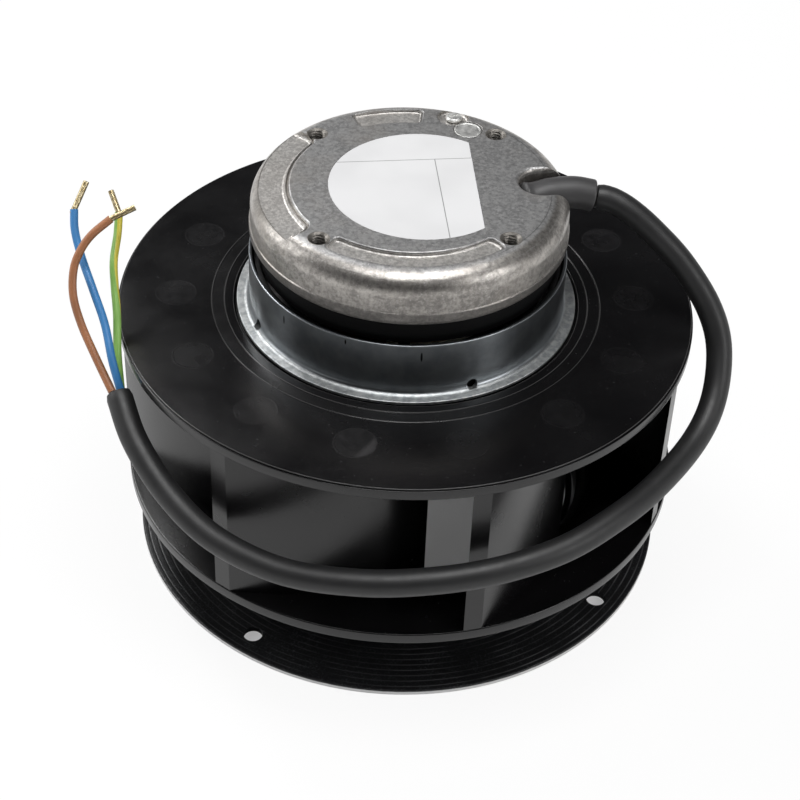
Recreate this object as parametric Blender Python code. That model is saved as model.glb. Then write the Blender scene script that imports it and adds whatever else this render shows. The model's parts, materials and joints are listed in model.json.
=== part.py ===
"""Small backward-curved centrifugal fan on an external-rotor motor, with its loose inlet ring.

Z is the fan's axis. Z = 0 is the underside of the inlet ring, and the motor's mounting face
is on top. The impeller, the rotor and the shaft turn together about Z; the flange, the
stator, the outer bearing rings and the inlet ring stand still.
"""

import cmath
import math

import bmesh
import bpy
from mathutils import Vector

MM = 0.001

# Clearances
SEAT = 0.3 * MM
RUNNING = 0.8 * MM
AIR_GAP = 0.4 * MM
THROUGH = 2.0 * MM
EMBED = 0.8 * MM

# Inlet ring
THROAT_R = 42.3 * MM
THROAT_STRAIGHT = 1.8 * MM
INLET_T = 1.5 * MM
INLET_BEND = 8.2 * MM
INLET_RIM_W = 14.3 * MM
INLET_HOLE_D = 4.5 * MM
INLET_HOLE_EDGE = 5.8 * MM
INLET_HOLE_START = math.radians(-33.8)
INLET_CURVE_R = THROAT_R + INLET_BEND
INLET_R = INLET_CURVE_R + INLET_RIM_W
INLET_HOLE_CIRCLE_R = INLET_R - INLET_HOLE_EDGE
THROAT_TOP = INLET_BEND + THROAT_STRAIGHT
NOZZLE_R = THROAT_R + INLET_T

# Impeller
BLADES = 7
PLATE_R = 67.0 * MM
PLATE_T = 2.8 * MM
RAISE_H = 0.2 * MM
RAISE_W = 6.8 * MM
RAISE_SLOPE_W = 3.0 * MM
COLLAR_SEAT_DEPTH = 0.7 * MM
COLLAR_SEAT_EDGE = 0.5 * MM
HUB_WALL = 2.0 * MM
HUB_DEPTH = 7.5 * MM
HUB_FILLET = 1.5 * MM
EDGE_ROUND = 0.4 * MM
CHANNEL_H = 41.3 * MM
COVER_SET_IN = 0.25 * MM
COVER_T = 2.8 * MM
COVER_BEND_W = 9.4 * MM
COVER_BEND_H = 10.3 * MM
COVER_COLLAR_T = 2.0 * MM
COVER_COLLAR_H = 5.5 * MM
COVER_COLLAR_GAP = 1.475 * MM
COVER_CHORDS = 4
BLADE_T = 1.9 * MM
BLADE_NOSE_T = 0.9 * MM
BLADE_SET_BACK = 0.4 * MM
BLADE_ANGLE = math.radians(27.0)
BLADE_START = math.radians(-74.4)
BLADE_TIP_CHORDS = 4
EYE_R = NOZZLE_R + RUNNING
BLADE_IN_R = EYE_R + BLADE_SET_BACK
COVER_R = PLATE_R - COVER_SET_IN
COVER_CURVE_R = EYE_R + COVER_BEND_W
INLET_FACE_UNDER_EYE = INLET_BEND - math.sqrt((INLET_BEND - INLET_T) ** 2 - (INLET_CURVE_R - EYE_R) ** 2)
COVER_COLLAR_BOTTOM = INLET_FACE_UNDER_EYE + COVER_COLLAR_GAP
COVER_CURVE_Z = COVER_COLLAR_BOTTOM + COVER_COLLAR_H
COVER_TOP = COVER_CURVE_Z + COVER_BEND_H
PLATE_BOTTOM = COVER_TOP + CHANNEL_H
PLATE_TOP = PLATE_BOTTOM + PLATE_T

# Bearings
SHAFT_R = 4.0 * MM
BEARING_R = 11.0 * MM
BEARING_W = 7.0 * MM
BALLS = 7
BALL_R = 1.985 * MM
RACE_SET_BACK = 1.5 * MM
SHIELD_T = 0.4 * MM
CAGE_T = 0.5 * MM
CAGE_W = 1.6 * MM
POST_INSET = 0.2 * MM
POST_HALF_ANGLE = math.radians(5.5)
POST_TOP = 0.8 * MM
SPRING_T = 0.5 * MM
SPRING_WAVE = 0.45 * MM
SPRING_WAVES = 3
BALL_CIRCLE_R = (SHAFT_R + BEARING_R) / 2
RACE_INNER_R = BALL_CIRCLE_R - RACE_SET_BACK
RACE_OUTER_R = BALL_CIRCLE_R + RACE_SET_BACK
BORE_R = SHAFT_R + SEAT

# Stator
TUBE_WALL = 1.7 * MM
TUBE_LIP = 3.7 * MM
TUBE_SHOULDER_W = 2.0 * MM
STACK_H = 22.0 * MM
YOKE_W = 4.5 * MM
WINDOW_W = 5.0 * MM
POLE_T = 3.6 * MM
INSULATOR_T = 1.0 * MM
WINDOW_HALF_ANGLE = math.radians(52.0)
WINDOW_MOUTH = 2.6 * MM
COIL_OVERHANG = 4.4 * MM
COIL_GAP = 0.4 * MM
COIL_END_GAP = math.radians(4.0)
SHADING_FROM = math.radians(45.0)
SHADING_TO = math.radians(79.0)
SHADING_DEPTH = 2.1 * MM
SHADING_SLOT_W = 2.0 * MM
SHADING_WIRE = 1.2 * MM
PROTECTOR_SIZE = (7.0 * MM, 13.0 * MM, 3.6 * MM)
PROTECTOR_ROUND = 1.0 * MM
TUBE_BORE_R = BEARING_R + SEAT
TUBE_R = TUBE_BORE_R + TUBE_WALL
TUBE_SHOULDER_R = TUBE_R + TUBE_SHOULDER_W
WINDOW_IN_R = TUBE_R + YOKE_W
WINDOW_OUT_R = WINDOW_IN_R + WINDOW_W
COIL_IN_R = WINDOW_IN_R + COIL_GAP
COIL_OUT_R = WINDOW_OUT_R - COIL_GAP
STATOR_R = WINDOW_OUT_R + POLE_T
SHADING_R = STATOR_R - SHADING_DEPTH

# Rotor
CUP_T = 1.2 * MM
CUP_BELOW_PLATE = 27.9 * MM
CUP_END_SPACE = 18.0 * MM
CUP_CORNER = 3.5 * MM
ROTOR_STACK_W = 7.2 * MM
COLLAR_T = 0.8 * MM
COLLAR_GAP = 0.5 * MM
COLLAR_RISE = 1.8 * MM
COLLAR_FLANGE_W = 3.0 * MM
COLLAR_FILLET = 1.8 * MM
COLLAR_HOLE_D = 2.4 * MM
COLLAR_HOLES = 4
COLLAR_HOLE_START = math.radians(-65.3)
CAGE_RING_H = 3.2 * MM
CAGE_RING_INSET = 0.7 * MM
HUB_FLANGE_R = 13.0 * MM
HUB_FLANGE_T = 2.4 * MM
HUB_BOSS_R = 8.0 * MM
SHAFT_CHAMFER = 0.5 * MM
SHAFT_END_SET_BACK = 0.4 * MM
SHAFT_PAST_BEARING = 1.0 * MM
GROOVE_DEPTH = 0.5 * MM
CIRCLIP_T = 0.8 * MM
CIRCLIP_WALL = 1.6 * MM
CIRCLIP_GAP = math.radians(40.0)
STACK_ABOVE_FLOOR = 8.5 * MM
BEARING_ABOVE_FLOOR = 11.5 * MM
CUP_IN_R = STATOR_R + AIR_GAP + ROTOR_STACK_W + SEAT
CUP_R = CUP_IN_R + CUP_T
HUB_IN_R = CUP_R + SEAT
RAISE_IN_R = HUB_IN_R + RAISE_W
RAISE_OUT_R = RAISE_IN_R + RAISE_SLOPE_W
COLLAR_IN_R = CUP_R + COLLAR_GAP
COLLAR_R = COLLAR_IN_R + COLLAR_T
COLLAR_FLANGE_R = COLLAR_R + COLLAR_FLANGE_W
COLLAR_SEAT_R = COLLAR_FLANGE_R + SEAT
COLLAR_SEAT_Z = PLATE_TOP + RAISE_H - COLLAR_SEAT_DEPTH
CUP_BOTTOM = PLATE_TOP - CUP_BELOW_PLATE
CUP_TOP = CUP_BOTTOM + STACK_H + CUP_END_SPACE
COLLAR_TOP = CUP_TOP + COLLAR_RISE
SHAFT_BOTTOM = CUP_BOTTOM + SHAFT_END_SET_BACK
LOWER_BEARING_Z = CUP_BOTTOM + BEARING_ABOVE_FLOOR
CIRCLIP_GROOVE_BOTTOM = LOWER_BEARING_Z - CIRCLIP_T - 2 * SEAT
TUBE_BOTTOM = LOWER_BEARING_Z - TUBE_LIP
STACK_BOTTOM = CUP_BOTTOM + STACK_ABOVE_FLOOR
STACK_TOP = STACK_BOTTOM + STACK_H
INSULATOR_TOP = STACK_TOP + SEAT + INSULATOR_T
INSULATOR_BOTTOM = STACK_BOTTOM - SEAT - INSULATOR_T
TUBE_SHOULDER_Z = INSULATOR_TOP + SEAT
COIL_TOP = INSULATOR_TOP + SEAT + COIL_OVERHANG
COIL_BOTTOM = INSULATOR_BOTTOM - SEAT - COIL_OVERHANG

# Motor flange
FLANGE_OVERHANG = 1.1 * MM
FLANGE_ABOVE_COLLAR = 5.1 * MM
FLANGE_H = 12.1 * MM
FLANGE_SHOULDER = 5.0 * MM
FLANGE_LIP_H = 1.7 * MM
FLANGE_LIP_SET_IN = 0.5 * MM
FLANGE_LIP_BEVEL = 0.2 * MM
FLANGE_DRAFT = 0.4 * MM
FLANGE_WALL = 10.8 * MM
FLANGE_ROOF = 6.0 * MM
BEARING_BELOW_FLANGE = 3.4 * MM
TAP_INSET = 6.95 * MM
TAP_D = 3.3 * MM
TAP_DEPTH = 8.0 * MM
TAP_START = math.radians(48.9)
STEP_DEPTH = 1.2 * MM
STEP_W = 8.3 * MM
STEP_ARC = (math.radians(143.0), math.radians(220.0))
POCKET_DEPTH = 0.9 * MM
FRONT_POCKET_INSET = 11.2 * MM
FRONT_POCKET_W = 4.5 * MM
FRONT_POCKET_ARC = (math.radians(-125.5), math.radians(-47.5))
REAR_POCKET_INSET = 7.4 * MM
REAR_POCKET_W = 2.1 * MM
REAR_POCKET_ARC = (math.radians(86.0), math.radians(117.0))
SCREW_INSET = 5.1 * MM
SCREW_TOWARDS = math.radians(72.3)
SCREW_POCKET_R = 3.2 * MM
SCREW_HEAD_R = 1.9 * MM
SCREW_HEAD_H = 1.0 * MM
SCREW_HEAD_CHAMFER = 0.3 * MM
SCREW_SHANK_R = 1.2 * MM
SCREW_SHANK_H = 4.5 * MM
PLUG_INSET = 9.4 * MM
PLUG_TOWARDS = math.radians(61.6)
PLUG_R = 3.1 * MM
PLUG_T = 0.7 * MM
LABEL_MARGIN = 4.1 * MM
LABEL_CENTRE_X = 2.5 * MM
LABEL_CUT_AT = 12.3 * MM
LABEL_CUT_TOWARDS = math.radians(5.9)
LABEL_T = 0.12 * MM
LABEL_RECESS = 0.2 * MM
NOTCH_INSET = 7.0 * MM
NOTCH_SHIFT = 3.4 * MM
NOTCH_W = 9.6 * MM
NOTCH_DEPTH = 8.7 * MM
NOTCH_TURN = math.radians(12.0)
LEAD_HOLE_R = 3.0 * MM
LEAD_HOLE_SHIFT = 1.3 * MM
FLANGE_R = CUP_R + FLANGE_OVERHANG
FLANGE_BOTTOM = COLLAR_TOP + FLANGE_ABOVE_COLLAR
FLANGE_TOP = FLANGE_BOTTOM + FLANGE_H
CAVITY_R = FLANGE_R - FLANGE_WALL
CAVITY_TOP = FLANGE_TOP - FLANGE_ROOF
UPPER_BEARING_Z = FLANGE_BOTTOM - BEARING_BELOW_FLANGE
SHAFT_TOP = UPPER_BEARING_Z + BEARING_W + SHAFT_PAST_BEARING
SPRING_BOTTOM = UPPER_BEARING_Z + BEARING_W + SEAT
TUBE_TOP = SPRING_BOTTOM + SPRING_T + SPRING_WAVE + SEAT
TAP_CIRCLE_R = FLANGE_R - TAP_INSET
STEP_IN_R = FLANGE_R - STEP_W
FRONT_POCKET_IN_R = FLANGE_R - FRONT_POCKET_INSET
FRONT_POCKET_R = (FRONT_POCKET_IN_R, FRONT_POCKET_IN_R + FRONT_POCKET_W)
REAR_POCKET_R = (FLANGE_R - REAR_POCKET_INSET, FLANGE_R - REAR_POCKET_INSET + REAR_POCKET_W)
SCREW_AT = (FLANGE_R - SCREW_INSET, SCREW_TOWARDS)
PLUG_AT = (FLANGE_R - PLUG_INSET, PLUG_TOWARDS)
LABEL_R = FRONT_POCKET_IN_R - LABEL_MARGIN
NOTCH_CENTRE = Vector((FLANGE_R - NOTCH_INSET, NOTCH_SHIFT))
NOTCH_FLOOR = FLANGE_TOP - NOTCH_DEPTH

# Winding cover
COVER_SKIRT_INSET = 1.0 * MM
COVER_SKIRT_T = 1.4 * MM
COVER_SKIRT_GAP = 1.1 * MM
COVER_DISC_T = 1.5 * MM
COVER_SKIRT_FILLET = 1.0 * MM
COVER_SKIRT_R = CUP_R - COVER_SKIRT_INSET
COVER_SKIRT_BOTTOM = CUP_TOP + COVER_SKIRT_GAP
COVER_DISC_TOP = FLANGE_BOTTOM - SEAT

# Cable
CABLE_D = 6.0 * MM
SLEEVE_D = 7.4 * MM
CORE_D = 1.85 * MM
CONDUCTOR_D = 1.3 * MM
LEAD_D = 1.6 * MM
LEAD_PITCH = 2.0 * MM

# Facets round a full turn
FINE_TURN = 48
TURN = 40
INNER_TURN = 28
SMALL_TURN = 16
HOLE_TURN = 12
CIRCLIP_CHORDS = 18
COIL_CHORDS = 14
POCKET_CHORDS = 12
RETAINING_RING_CHORDS = 26
SMOOTH_BELOW = math.radians(35.0)

# Route points of the cable and its cores, chosen along the way they lie, with Z from the mounting face
SLEEVE_ROUTE = [(27.6, 3.3, -4.6), (32.0, 4.6, -4.1), (37.0, 5.6, -4.1), (41.5, 5.8, -4.9)]
CABLE_ROUTE = [
    (42.25, 5.78, -5.08), (46.0, 5.5, -5.85), (50.4, 3.9, -7.7), (55.9, 1.6, -11.5), (62.9, -1.4, -17.8),
    (69.7, -5.9, -26.5), (72.7, -10.9, -34.6), (71.7, -19.3, -43.0), (66.7, -29.2, -47.8),
    (56.9, -43.1, -49.4), (46.9, -54.2, -49.5), (35.8, -62.8, -50.5), (21.9, -68.8, -51.6),
    (7.2, -71.5, -52.9), (-7.8, -71.4, -54.3), (-24.3, -67.9, -55.3), (-39.4, -60.3, -54.0),
    (-50.3, -50.9, -50.3), (-58.8, -40.3, -44.6), (-63.6, -30.6, -38.9),
]
BLUE_ROUTE = [
    (-63.1, -30.6, -37.7), (-65.0, -27.4, -32.0), (-67.2, -21.1, -26.8), (-70.4, -15.2, -21.5),
    (-73.8, -8.4, -17.1), (-75.5, -4.3, -13.2), (-75.9, -1.1, -9.9),
]
BROWN_ROUTE = [
    (-65.0, -30.5, -38.5), (-69.1, -25.0, -33.3), (-72.7, -20.1, -27.9), (-74.5, -17.3, -22.0),
    (-74.5, -14.2, -17.0), (-73.0, -12.1, -13.2), (-70.5, -10.2, -10.1), (-66.4, -8.1, -7.1),
]
GREEN_YELLOW_ROUTE = [
    (-63.2, -29.4, -39.2), (-64.3, -24.0, -32.5), (-64.9, -17.9, -26.5), (-65.8, -13.1, -22.2),
    (-66.3, -9.2, -17.9), (-65.9, -4.1, -14.0), (-65.8, -1.0, -10.3),
]
BLUE_END = (-73.5, 3.7, -5.4)
BROWN_END = (-61.1, -6.3, -5.0)
GREEN_YELLOW_END = (-67.9, 2.6, -6.9)
SLEEVE_SPACING = 2.5 * MM
CABLE_SPACING = 8.0 * MM
CORE_SPACING = 5.0 * MM
LEAD_SPACING = 1.6 * MM


def clear_scene():
    for obj in list(bpy.data.objects):
        bpy.data.objects.remove(obj, do_unlink=True)


def material(name, color, roughness, metallic=0.0):
    made = bpy.data.materials.new(name)
    made.use_nodes = True
    shader = made.node_tree.nodes["Principled BSDF"]
    shader.inputs["Base Color"].default_value = (*color, 1.0)
    shader.inputs["Roughness"].default_value = roughness
    shader.inputs["Metallic"].default_value = metallic
    return made


# Outlines

def polar(radius, angle, z=None):
    point = (radius * math.cos(angle), radius * math.sin(angle))
    return point if z is None else (*point, z)


def rounded(corners, chords=2):
    """The closed outline through these corners. A third value rounds a corner with that radius."""
    points = []
    for index, (x, y, *radius) in enumerate(corners):
        here = complex(x, y)
        if not radius:
            points.append((x, y))
            continue
        before = complex(*corners[index - 1][:2]) - here
        after = complex(*corners[(index + 1) % len(corners)][:2]) - here
        before, after = before / abs(before), after / abs(after)
        turn = cmath.phase(after / before)
        reach = radius[0] / math.tan(abs(turn) / 2)
        middle = (before + after) / abs(before + after)
        centre = here + middle * radius[0] / math.sin(abs(turn) / 2)
        arm = here + before * reach - centre
        sweep = turn - math.copysign(math.pi, turn)
        for step in range(chords + 1):
            point = centre + arm * cmath.exp(1j * sweep * step / chords)
            points.append((point.real, point.imag))
    return points


def quarter(centre_r, centre_z, reach_r, reach_z, chords):
    """(r, z) points of a quarter ellipse, from level with its centre to straight above or below."""
    turns = [math.pi / 2 * step / chords for step in range(chords + 1)]
    return [(centre_r - reach_r * math.cos(t), centre_z + reach_z * math.sin(t)) for t in turns]


def sector(inner, outer, start, end, chords=10):
    """The outline of the part of a ring that lies between two angles."""
    turns = [start + (end - start) * step / chords for step in range(chords + 1)]
    return [polar(inner, t) for t in turns] + [polar(outer, t) for t in reversed(turns)]


def circle(centre, radius, steps=HOLE_TURN):
    turns = [2 * math.pi * step / steps for step in range(steps)]
    return [(centre[0] + radius * math.cos(t), centre[1] + radius * math.sin(t)) for t in turns]


# Bodies

def turned(outline, steps):
    """An (r, z) outline turned about Z. One that starts and ends on the axis stays open there."""
    body = bmesh.new()
    verts = [body.verts.new((r, 0.0, z)) for r, z in outline]
    pairs = list(zip(verts, verts[1:]))
    if outline[0][0] > 0:
        pairs.append((verts[-1], verts[0]))
    edges = [body.edges.new(pair) for pair in pairs]
    bmesh.ops.spin(
        body, geom=verts + edges, cent=(0, 0, 0), axis=(0, 0, 1), dvec=(0, 0, 0),
        angle=2 * math.pi, steps=steps, use_merge=True,
    )
    bmesh.ops.remove_doubles(body, verts=body.verts, dist=1e-6)
    return facing_out(body)


def prism(outline, bottom, top, body=None):
    """An (x, y) outline raised from one height to another, added to a body if one is given."""
    body = body or bmesh.new()
    low = [body.verts.new((x, y, bottom)) for x, y in outline]
    floor = body.faces.new(low)
    raised = bmesh.ops.extrude_face_region(body, geom=[floor])["geom"]
    verts = [item for item in raised if isinstance(item, bmesh.types.BMVert)]
    bmesh.ops.translate(body, verts=verts, vec=(0, 0, top - bottom))
    return facing_out(body)


def facing_out(body):
    bmesh.ops.recalc_face_normals(body, faces=body.faces)
    return body


def lofted(rings, body=None):
    """One closed body through rings of points, each ring with as many points as the next."""
    body = body or bmesh.new()
    rows = [[body.verts.new(point) for point in ring] for ring in rings]
    for low, high in zip(rows, rows[1:]):
        for index in range(len(low)):
            corner = (index + 1) % len(low)
            body.faces.new((low[index], low[corner], high[corner], high[index]))
    body.faces.new(rows[0])
    body.faces.new(rows[-1])
    return facing_out(body)


# Objects

def add(name, body, look, parent=None):
    mesh = bpy.data.meshes.new(name)
    body.to_mesh(mesh)
    body.free()
    mesh.shade_smooth()
    mesh.set_sharp_from_angle(angle=SMOOTH_BELOW)
    obj = bpy.data.objects.new(name, mesh)
    bpy.context.scene.collection.objects.link(obj)
    if look:
        mesh.materials.append(look)
    if parent:
        obj.parent = parent
    return obj


def cutter(name, body):
    """A shape that only cuts or joins: it isn't rendered and becomes no part."""
    obj = add(name, body, None)
    obj.hide_render = True
    obj.display_type = "WIRE"
    return obj


def combine(obj, other, operation):
    modifier = obj.modifiers.new(other.name, "BOOLEAN")
    modifier.operation = operation
    modifier.solver = "EXACT"
    modifier.object = other
    return obj


def axis_empty(name, z, parent=None):
    empty = bpy.data.objects.new(name, None)
    empty.location = (0, 0, z)
    empty.parent = parent
    bpy.context.scene.collection.objects.link(empty)
    return empty


# Impeller

def cover_air_side(radius):
    """Height of the cover ring's upper face at this radius."""
    if radius >= COVER_CURVE_R:
        return COVER_TOP
    across = (COVER_CURVE_R - radius) / (COVER_CURVE_R - EYE_R)
    return COVER_CURVE_Z + (COVER_TOP - COVER_CURVE_Z) * math.sqrt(1 - min(across, 1.0) ** 2)


def blade_ring(radius, tip_angle):
    """The blade's four corners where it crosses the cylinder of this radius."""
    along = (radius - BLADE_IN_R) / (tip_radius() - BLADE_IN_R)
    thickness = BLADE_NOSE_T + (BLADE_T - BLADE_NOSE_T) * min(1.0, along * 4)
    middle = tip_angle + math.log(tip_radius() / radius) / math.tan(BLADE_ANGLE)
    half = thickness / (2 * radius * math.sin(BLADE_ANGLE))
    top = PLATE_BOTTOM + EMBED
    bottom = cover_air_side(radius + 1.5 * SEAT) + SEAT
    return [
        polar(radius, middle - half, bottom), polar(radius, middle + half, bottom),
        polar(radius, middle + half, top), polar(radius, middle - half, top),
    ]


def tip_radius():
    return COVER_R - EDGE_ROUND / 2


def blades():
    """All blades as log spirals, which meet every circle about the axis at the same angle."""
    body = bmesh.new()
    curve = quarter(COVER_CURVE_R, 0.0, COVER_CURVE_R - EYE_R, 1.0, COVER_CHORDS)
    radii = [BLADE_IN_R] + [radius for radius, _ in curve if radius > BLADE_IN_R + MM]
    reach = tip_radius() - COVER_CURVE_R
    radii += [COVER_CURVE_R + reach * (step + 1) / BLADE_TIP_CHORDS for step in range(BLADE_TIP_CHORDS)]
    for blade in range(BLADES):
        tip_angle = BLADE_START + 2 * math.pi * blade / BLADES
        lofted([blade_ring(radius, tip_angle) for radius in radii], body)
    return body


def make_impeller(rotor):
    plastic = material("impeller_plastic", (0.018, 0.018, 0.02), 0.42)
    raise_top = PLATE_TOP + RAISE_H
    hub_out = HUB_IN_R + HUB_WALL
    plate = rounded([
        (HUB_IN_R, COLLAR_SEAT_Z),
        (COLLAR_SEAT_R, COLLAR_SEAT_Z),
        (COLLAR_SEAT_R + COLLAR_SEAT_EDGE, raise_top),
        (RAISE_IN_R, raise_top),
        (RAISE_OUT_R, PLATE_TOP),
        (PLATE_R - EDGE_ROUND, PLATE_TOP),
        (PLATE_R, PLATE_TOP - EDGE_ROUND),
        (PLATE_R, PLATE_BOTTOM),
        (hub_out, PLATE_BOTTOM, HUB_FILLET),
        (hub_out, PLATE_BOTTOM - HUB_DEPTH),
        (HUB_IN_R, PLATE_BOTTOM - HUB_DEPTH),
    ])
    wheel = add("impeller_wheel", turned(plate, FINE_TURN), plastic, rotor)
    combine(wheel, cutter("blade_set", blades()), "UNION")

    air_side = quarter(
        COVER_CURVE_R, COVER_CURVE_Z, COVER_CURVE_R - EYE_R, COVER_TOP - COVER_CURVE_Z, COVER_CHORDS)
    outer_side = quarter(
        COVER_CURVE_R, COVER_CURVE_Z, COVER_CURVE_R - EYE_R - COVER_COLLAR_T,
        COVER_TOP - COVER_CURVE_Z - COVER_T, 3)
    collar = [
        (EYE_R + COVER_COLLAR_T, COVER_COLLAR_BOTTOM),
        (EYE_R, COVER_COLLAR_BOTTOM),
    ]
    outline = cover_rim() + outer_side[::-1] + collar + air_side
    add("impeller_cover_ring", turned(outline, FINE_TURN), plastic, rotor)


def cover_rim():
    """The cover ring's rounded outer edge, from its upper face down to its lower one."""
    edge = EDGE_ROUND
    low = COVER_TOP - COVER_T
    return [
        (COVER_R - edge, COVER_TOP), (COVER_R, COVER_TOP - edge),
        (COVER_R, low + edge), (COVER_R - edge, low),
    ]


# Inlet ring

def make_inlet_ring():
    sheet = material("inlet_ring_black", (0.03, 0.03, 0.032), 0.4, 0.6)
    curve = INLET_BEND
    lower = quarter(INLET_CURVE_R, curve, curve, -curve, 5)
    upper = quarter(INLET_CURVE_R, curve, curve - INLET_T, INLET_T - curve, 4)
    outline = (
        [(INLET_R, INLET_T), (INLET_R, 0.0)] + lower[::-1]
        + [(THROAT_R, THROAT_TOP), (NOZZLE_R, THROAT_TOP)] + upper
    )
    ring = add("inlet_ring", turned(outline, FINE_TURN), sheet)
    holes = bmesh.new()
    for index in range(4):
        centre = polar(INLET_HOLE_CIRCLE_R, INLET_HOLE_START + index * math.pi / 2)
        prism(circle(centre, INLET_HOLE_D / 2), -THROUGH, INLET_T + THROUGH, holes)
    combine(ring, cutter("inlet_ring_holes", holes), "DIFFERENCE")


# Rotor

def make_rotor(rotor):
    steel = material("rotor_steel", (0.30, 0.31, 0.32), 0.38, 0.9)
    zinc = material("galvanised_steel", (0.33, 0.35, 0.37), 0.35, 0.9)
    laminate = material("rotor_lamination", (0.20, 0.20, 0.21), 0.5, 0.8)
    aluminium = material("cage_aluminium", (0.60, 0.60, 0.60), 0.4, 0.9)
    ground = material("shaft_steel", (0.62, 0.62, 0.63), 0.22, 1.0)

    cup = rounded([
        (CUP_R, CUP_TOP),
        (CUP_R, CUP_BOTTOM, CUP_CORNER),
        (BORE_R, CUP_BOTTOM),
        (BORE_R, CUP_BOTTOM + CUP_T),
        (CUP_IN_R, CUP_BOTTOM + CUP_T, CUP_CORNER - CUP_T),
        (CUP_IN_R, CUP_TOP),
    ])
    add("rotor_cup", turned(cup, TURN), steel, rotor)

    flange_z = COLLAR_SEAT_Z + SEAT
    wall_in, wall_out = COLLAR_IN_R, COLLAR_R
    collar = rounded([
        (wall_in, COLLAR_TOP),
        (wall_out, COLLAR_TOP),
        (wall_out, flange_z + COLLAR_T, COLLAR_FILLET),
        (COLLAR_FLANGE_R, flange_z + COLLAR_T),
        (COLLAR_FLANGE_R, flange_z),
        (wall_in, flange_z, COLLAR_FILLET),
    ][::-1])
    ring = add("rotor_collar", turned(collar, TURN), zinc, rotor)
    holes = bmesh.new()
    hole_z = flange_z + COLLAR_T + COLLAR_HOLE_D * 0.4
    for index in range(COLLAR_HOLES):
        angle = COLLAR_HOLE_START + index * 2 * math.pi / COLLAR_HOLES
        out, across = Vector(polar(1.0, angle, 0.0)), Vector(polar(1.0, angle + math.pi / 2, 0.0))
        rings = []
        for radius in (wall_in - THROUGH / 2, COLLAR_FLANGE_R - COLLAR_T):
            rings.append([
                out * radius + across * x + Vector((0, 0, hole_z + z))
                for x, z in circle((0.0, 0.0), COLLAR_HOLE_D / 2)
            ])
        lofted(rings, holes)
    combine(ring, cutter("collar_holes", holes), "DIFFERENCE")

    stack_out = CUP_IN_R - SEAT
    stack_in = STATOR_R + AIR_GAP
    add("rotor_lamination_ring", turned([
        (stack_out, STACK_TOP), (stack_out, STACK_BOTTOM), (stack_in, STACK_BOTTOM), (stack_in, STACK_TOP),
    ], TURN), laminate, rotor)
    for name, low in (
        ("cage_ring_lower", STACK_BOTTOM - SEAT - CAGE_RING_H),
        ("cage_ring_upper", STACK_TOP + SEAT),
    ):
        inner, outer = stack_in + CAGE_RING_INSET, stack_out - CAGE_RING_INSET
        add(name, turned([
            (outer, low + CAGE_RING_H), (outer, low), (inner, low), (inner, low + CAGE_RING_H),
        ], INNER_TURN), aluminium, rotor)

    floor = CUP_BOTTOM + CUP_T + SEAT
    add("rotor_hub", turned([
        (HUB_FLANGE_R, floor + HUB_FLANGE_T), (HUB_FLANGE_R, floor), (BORE_R, floor),
        (BORE_R, COIL_BOTTOM + HUB_FLANGE_T), (HUB_BOSS_R, COIL_BOTTOM + HUB_FLANGE_T),
        (HUB_BOSS_R, floor + HUB_FLANGE_T),
    ], INNER_TURN), steel, rotor)

    neck = SHAFT_R - GROOVE_DEPTH
    narrow = SHAFT_R - SHAFT_CHAMFER
    add("shaft", turned([
        (0.0, SHAFT_TOP), (narrow, SHAFT_TOP), (SHAFT_R, SHAFT_TOP - SHAFT_CHAMFER),
        (SHAFT_R, LOWER_BEARING_Z), (neck, LOWER_BEARING_Z),
        (neck, CIRCLIP_GROOVE_BOTTOM), (SHAFT_R, CIRCLIP_GROOVE_BOTTOM),
        (SHAFT_R, SHAFT_BOTTOM + SHAFT_CHAMFER), (narrow, SHAFT_BOTTOM), (0.0, SHAFT_BOTTOM),
    ], SMALL_TURN), ground, rotor)
    clip_in = neck + SEAT / 2
    ends = (CIRCLIP_GAP / 2, 2 * math.pi - CIRCLIP_GAP / 2)
    clip = sector(clip_in, clip_in + CIRCLIP_WALL, *ends, CIRCLIP_CHORDS)
    low = CIRCLIP_GROOVE_BOTTOM + SEAT
    add("shaft_circlip", prism(clip, low, low + CIRCLIP_T), ground, rotor)


# Bearings

def race_track(land, side, middle):
    """The (r, z) points of a ball track, upwards, in a ring whose land has this radius."""
    track = BALL_R + SEAT
    half = math.sqrt(track ** 2 - (BALL_CIRCLE_R - land) ** 2)
    points = []
    for share in (-1.0, 0.0, 1.0):
        dz = half * share
        points.append((BALL_CIRCLE_R + side * math.sqrt(track ** 2 - dz ** 2), middle + dz))
    return points


def outer_race(low):
    """An outer ring with both shields rolled into its edges."""
    high, shield_in = low + BEARING_W, RACE_INNER_R + SEAT
    return [
        (shield_in, low), (shield_in, low + SHIELD_T), (RACE_OUTER_R, low + SHIELD_T),
        *race_track(RACE_OUTER_R, 1, low + BEARING_W / 2),
        (RACE_OUTER_R, high - SHIELD_T), (shield_in, high - SHIELD_T), (shield_in, high),
        (BEARING_R, high), (BEARING_R, low),
    ]


def inner_race(low):
    high = low + BEARING_W
    return [
        (RACE_INNER_R, low), *race_track(RACE_INNER_R, -1, low + BEARING_W / 2),
        (RACE_INNER_R, high), (BORE_R, high), (BORE_R, low),
    ]


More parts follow.
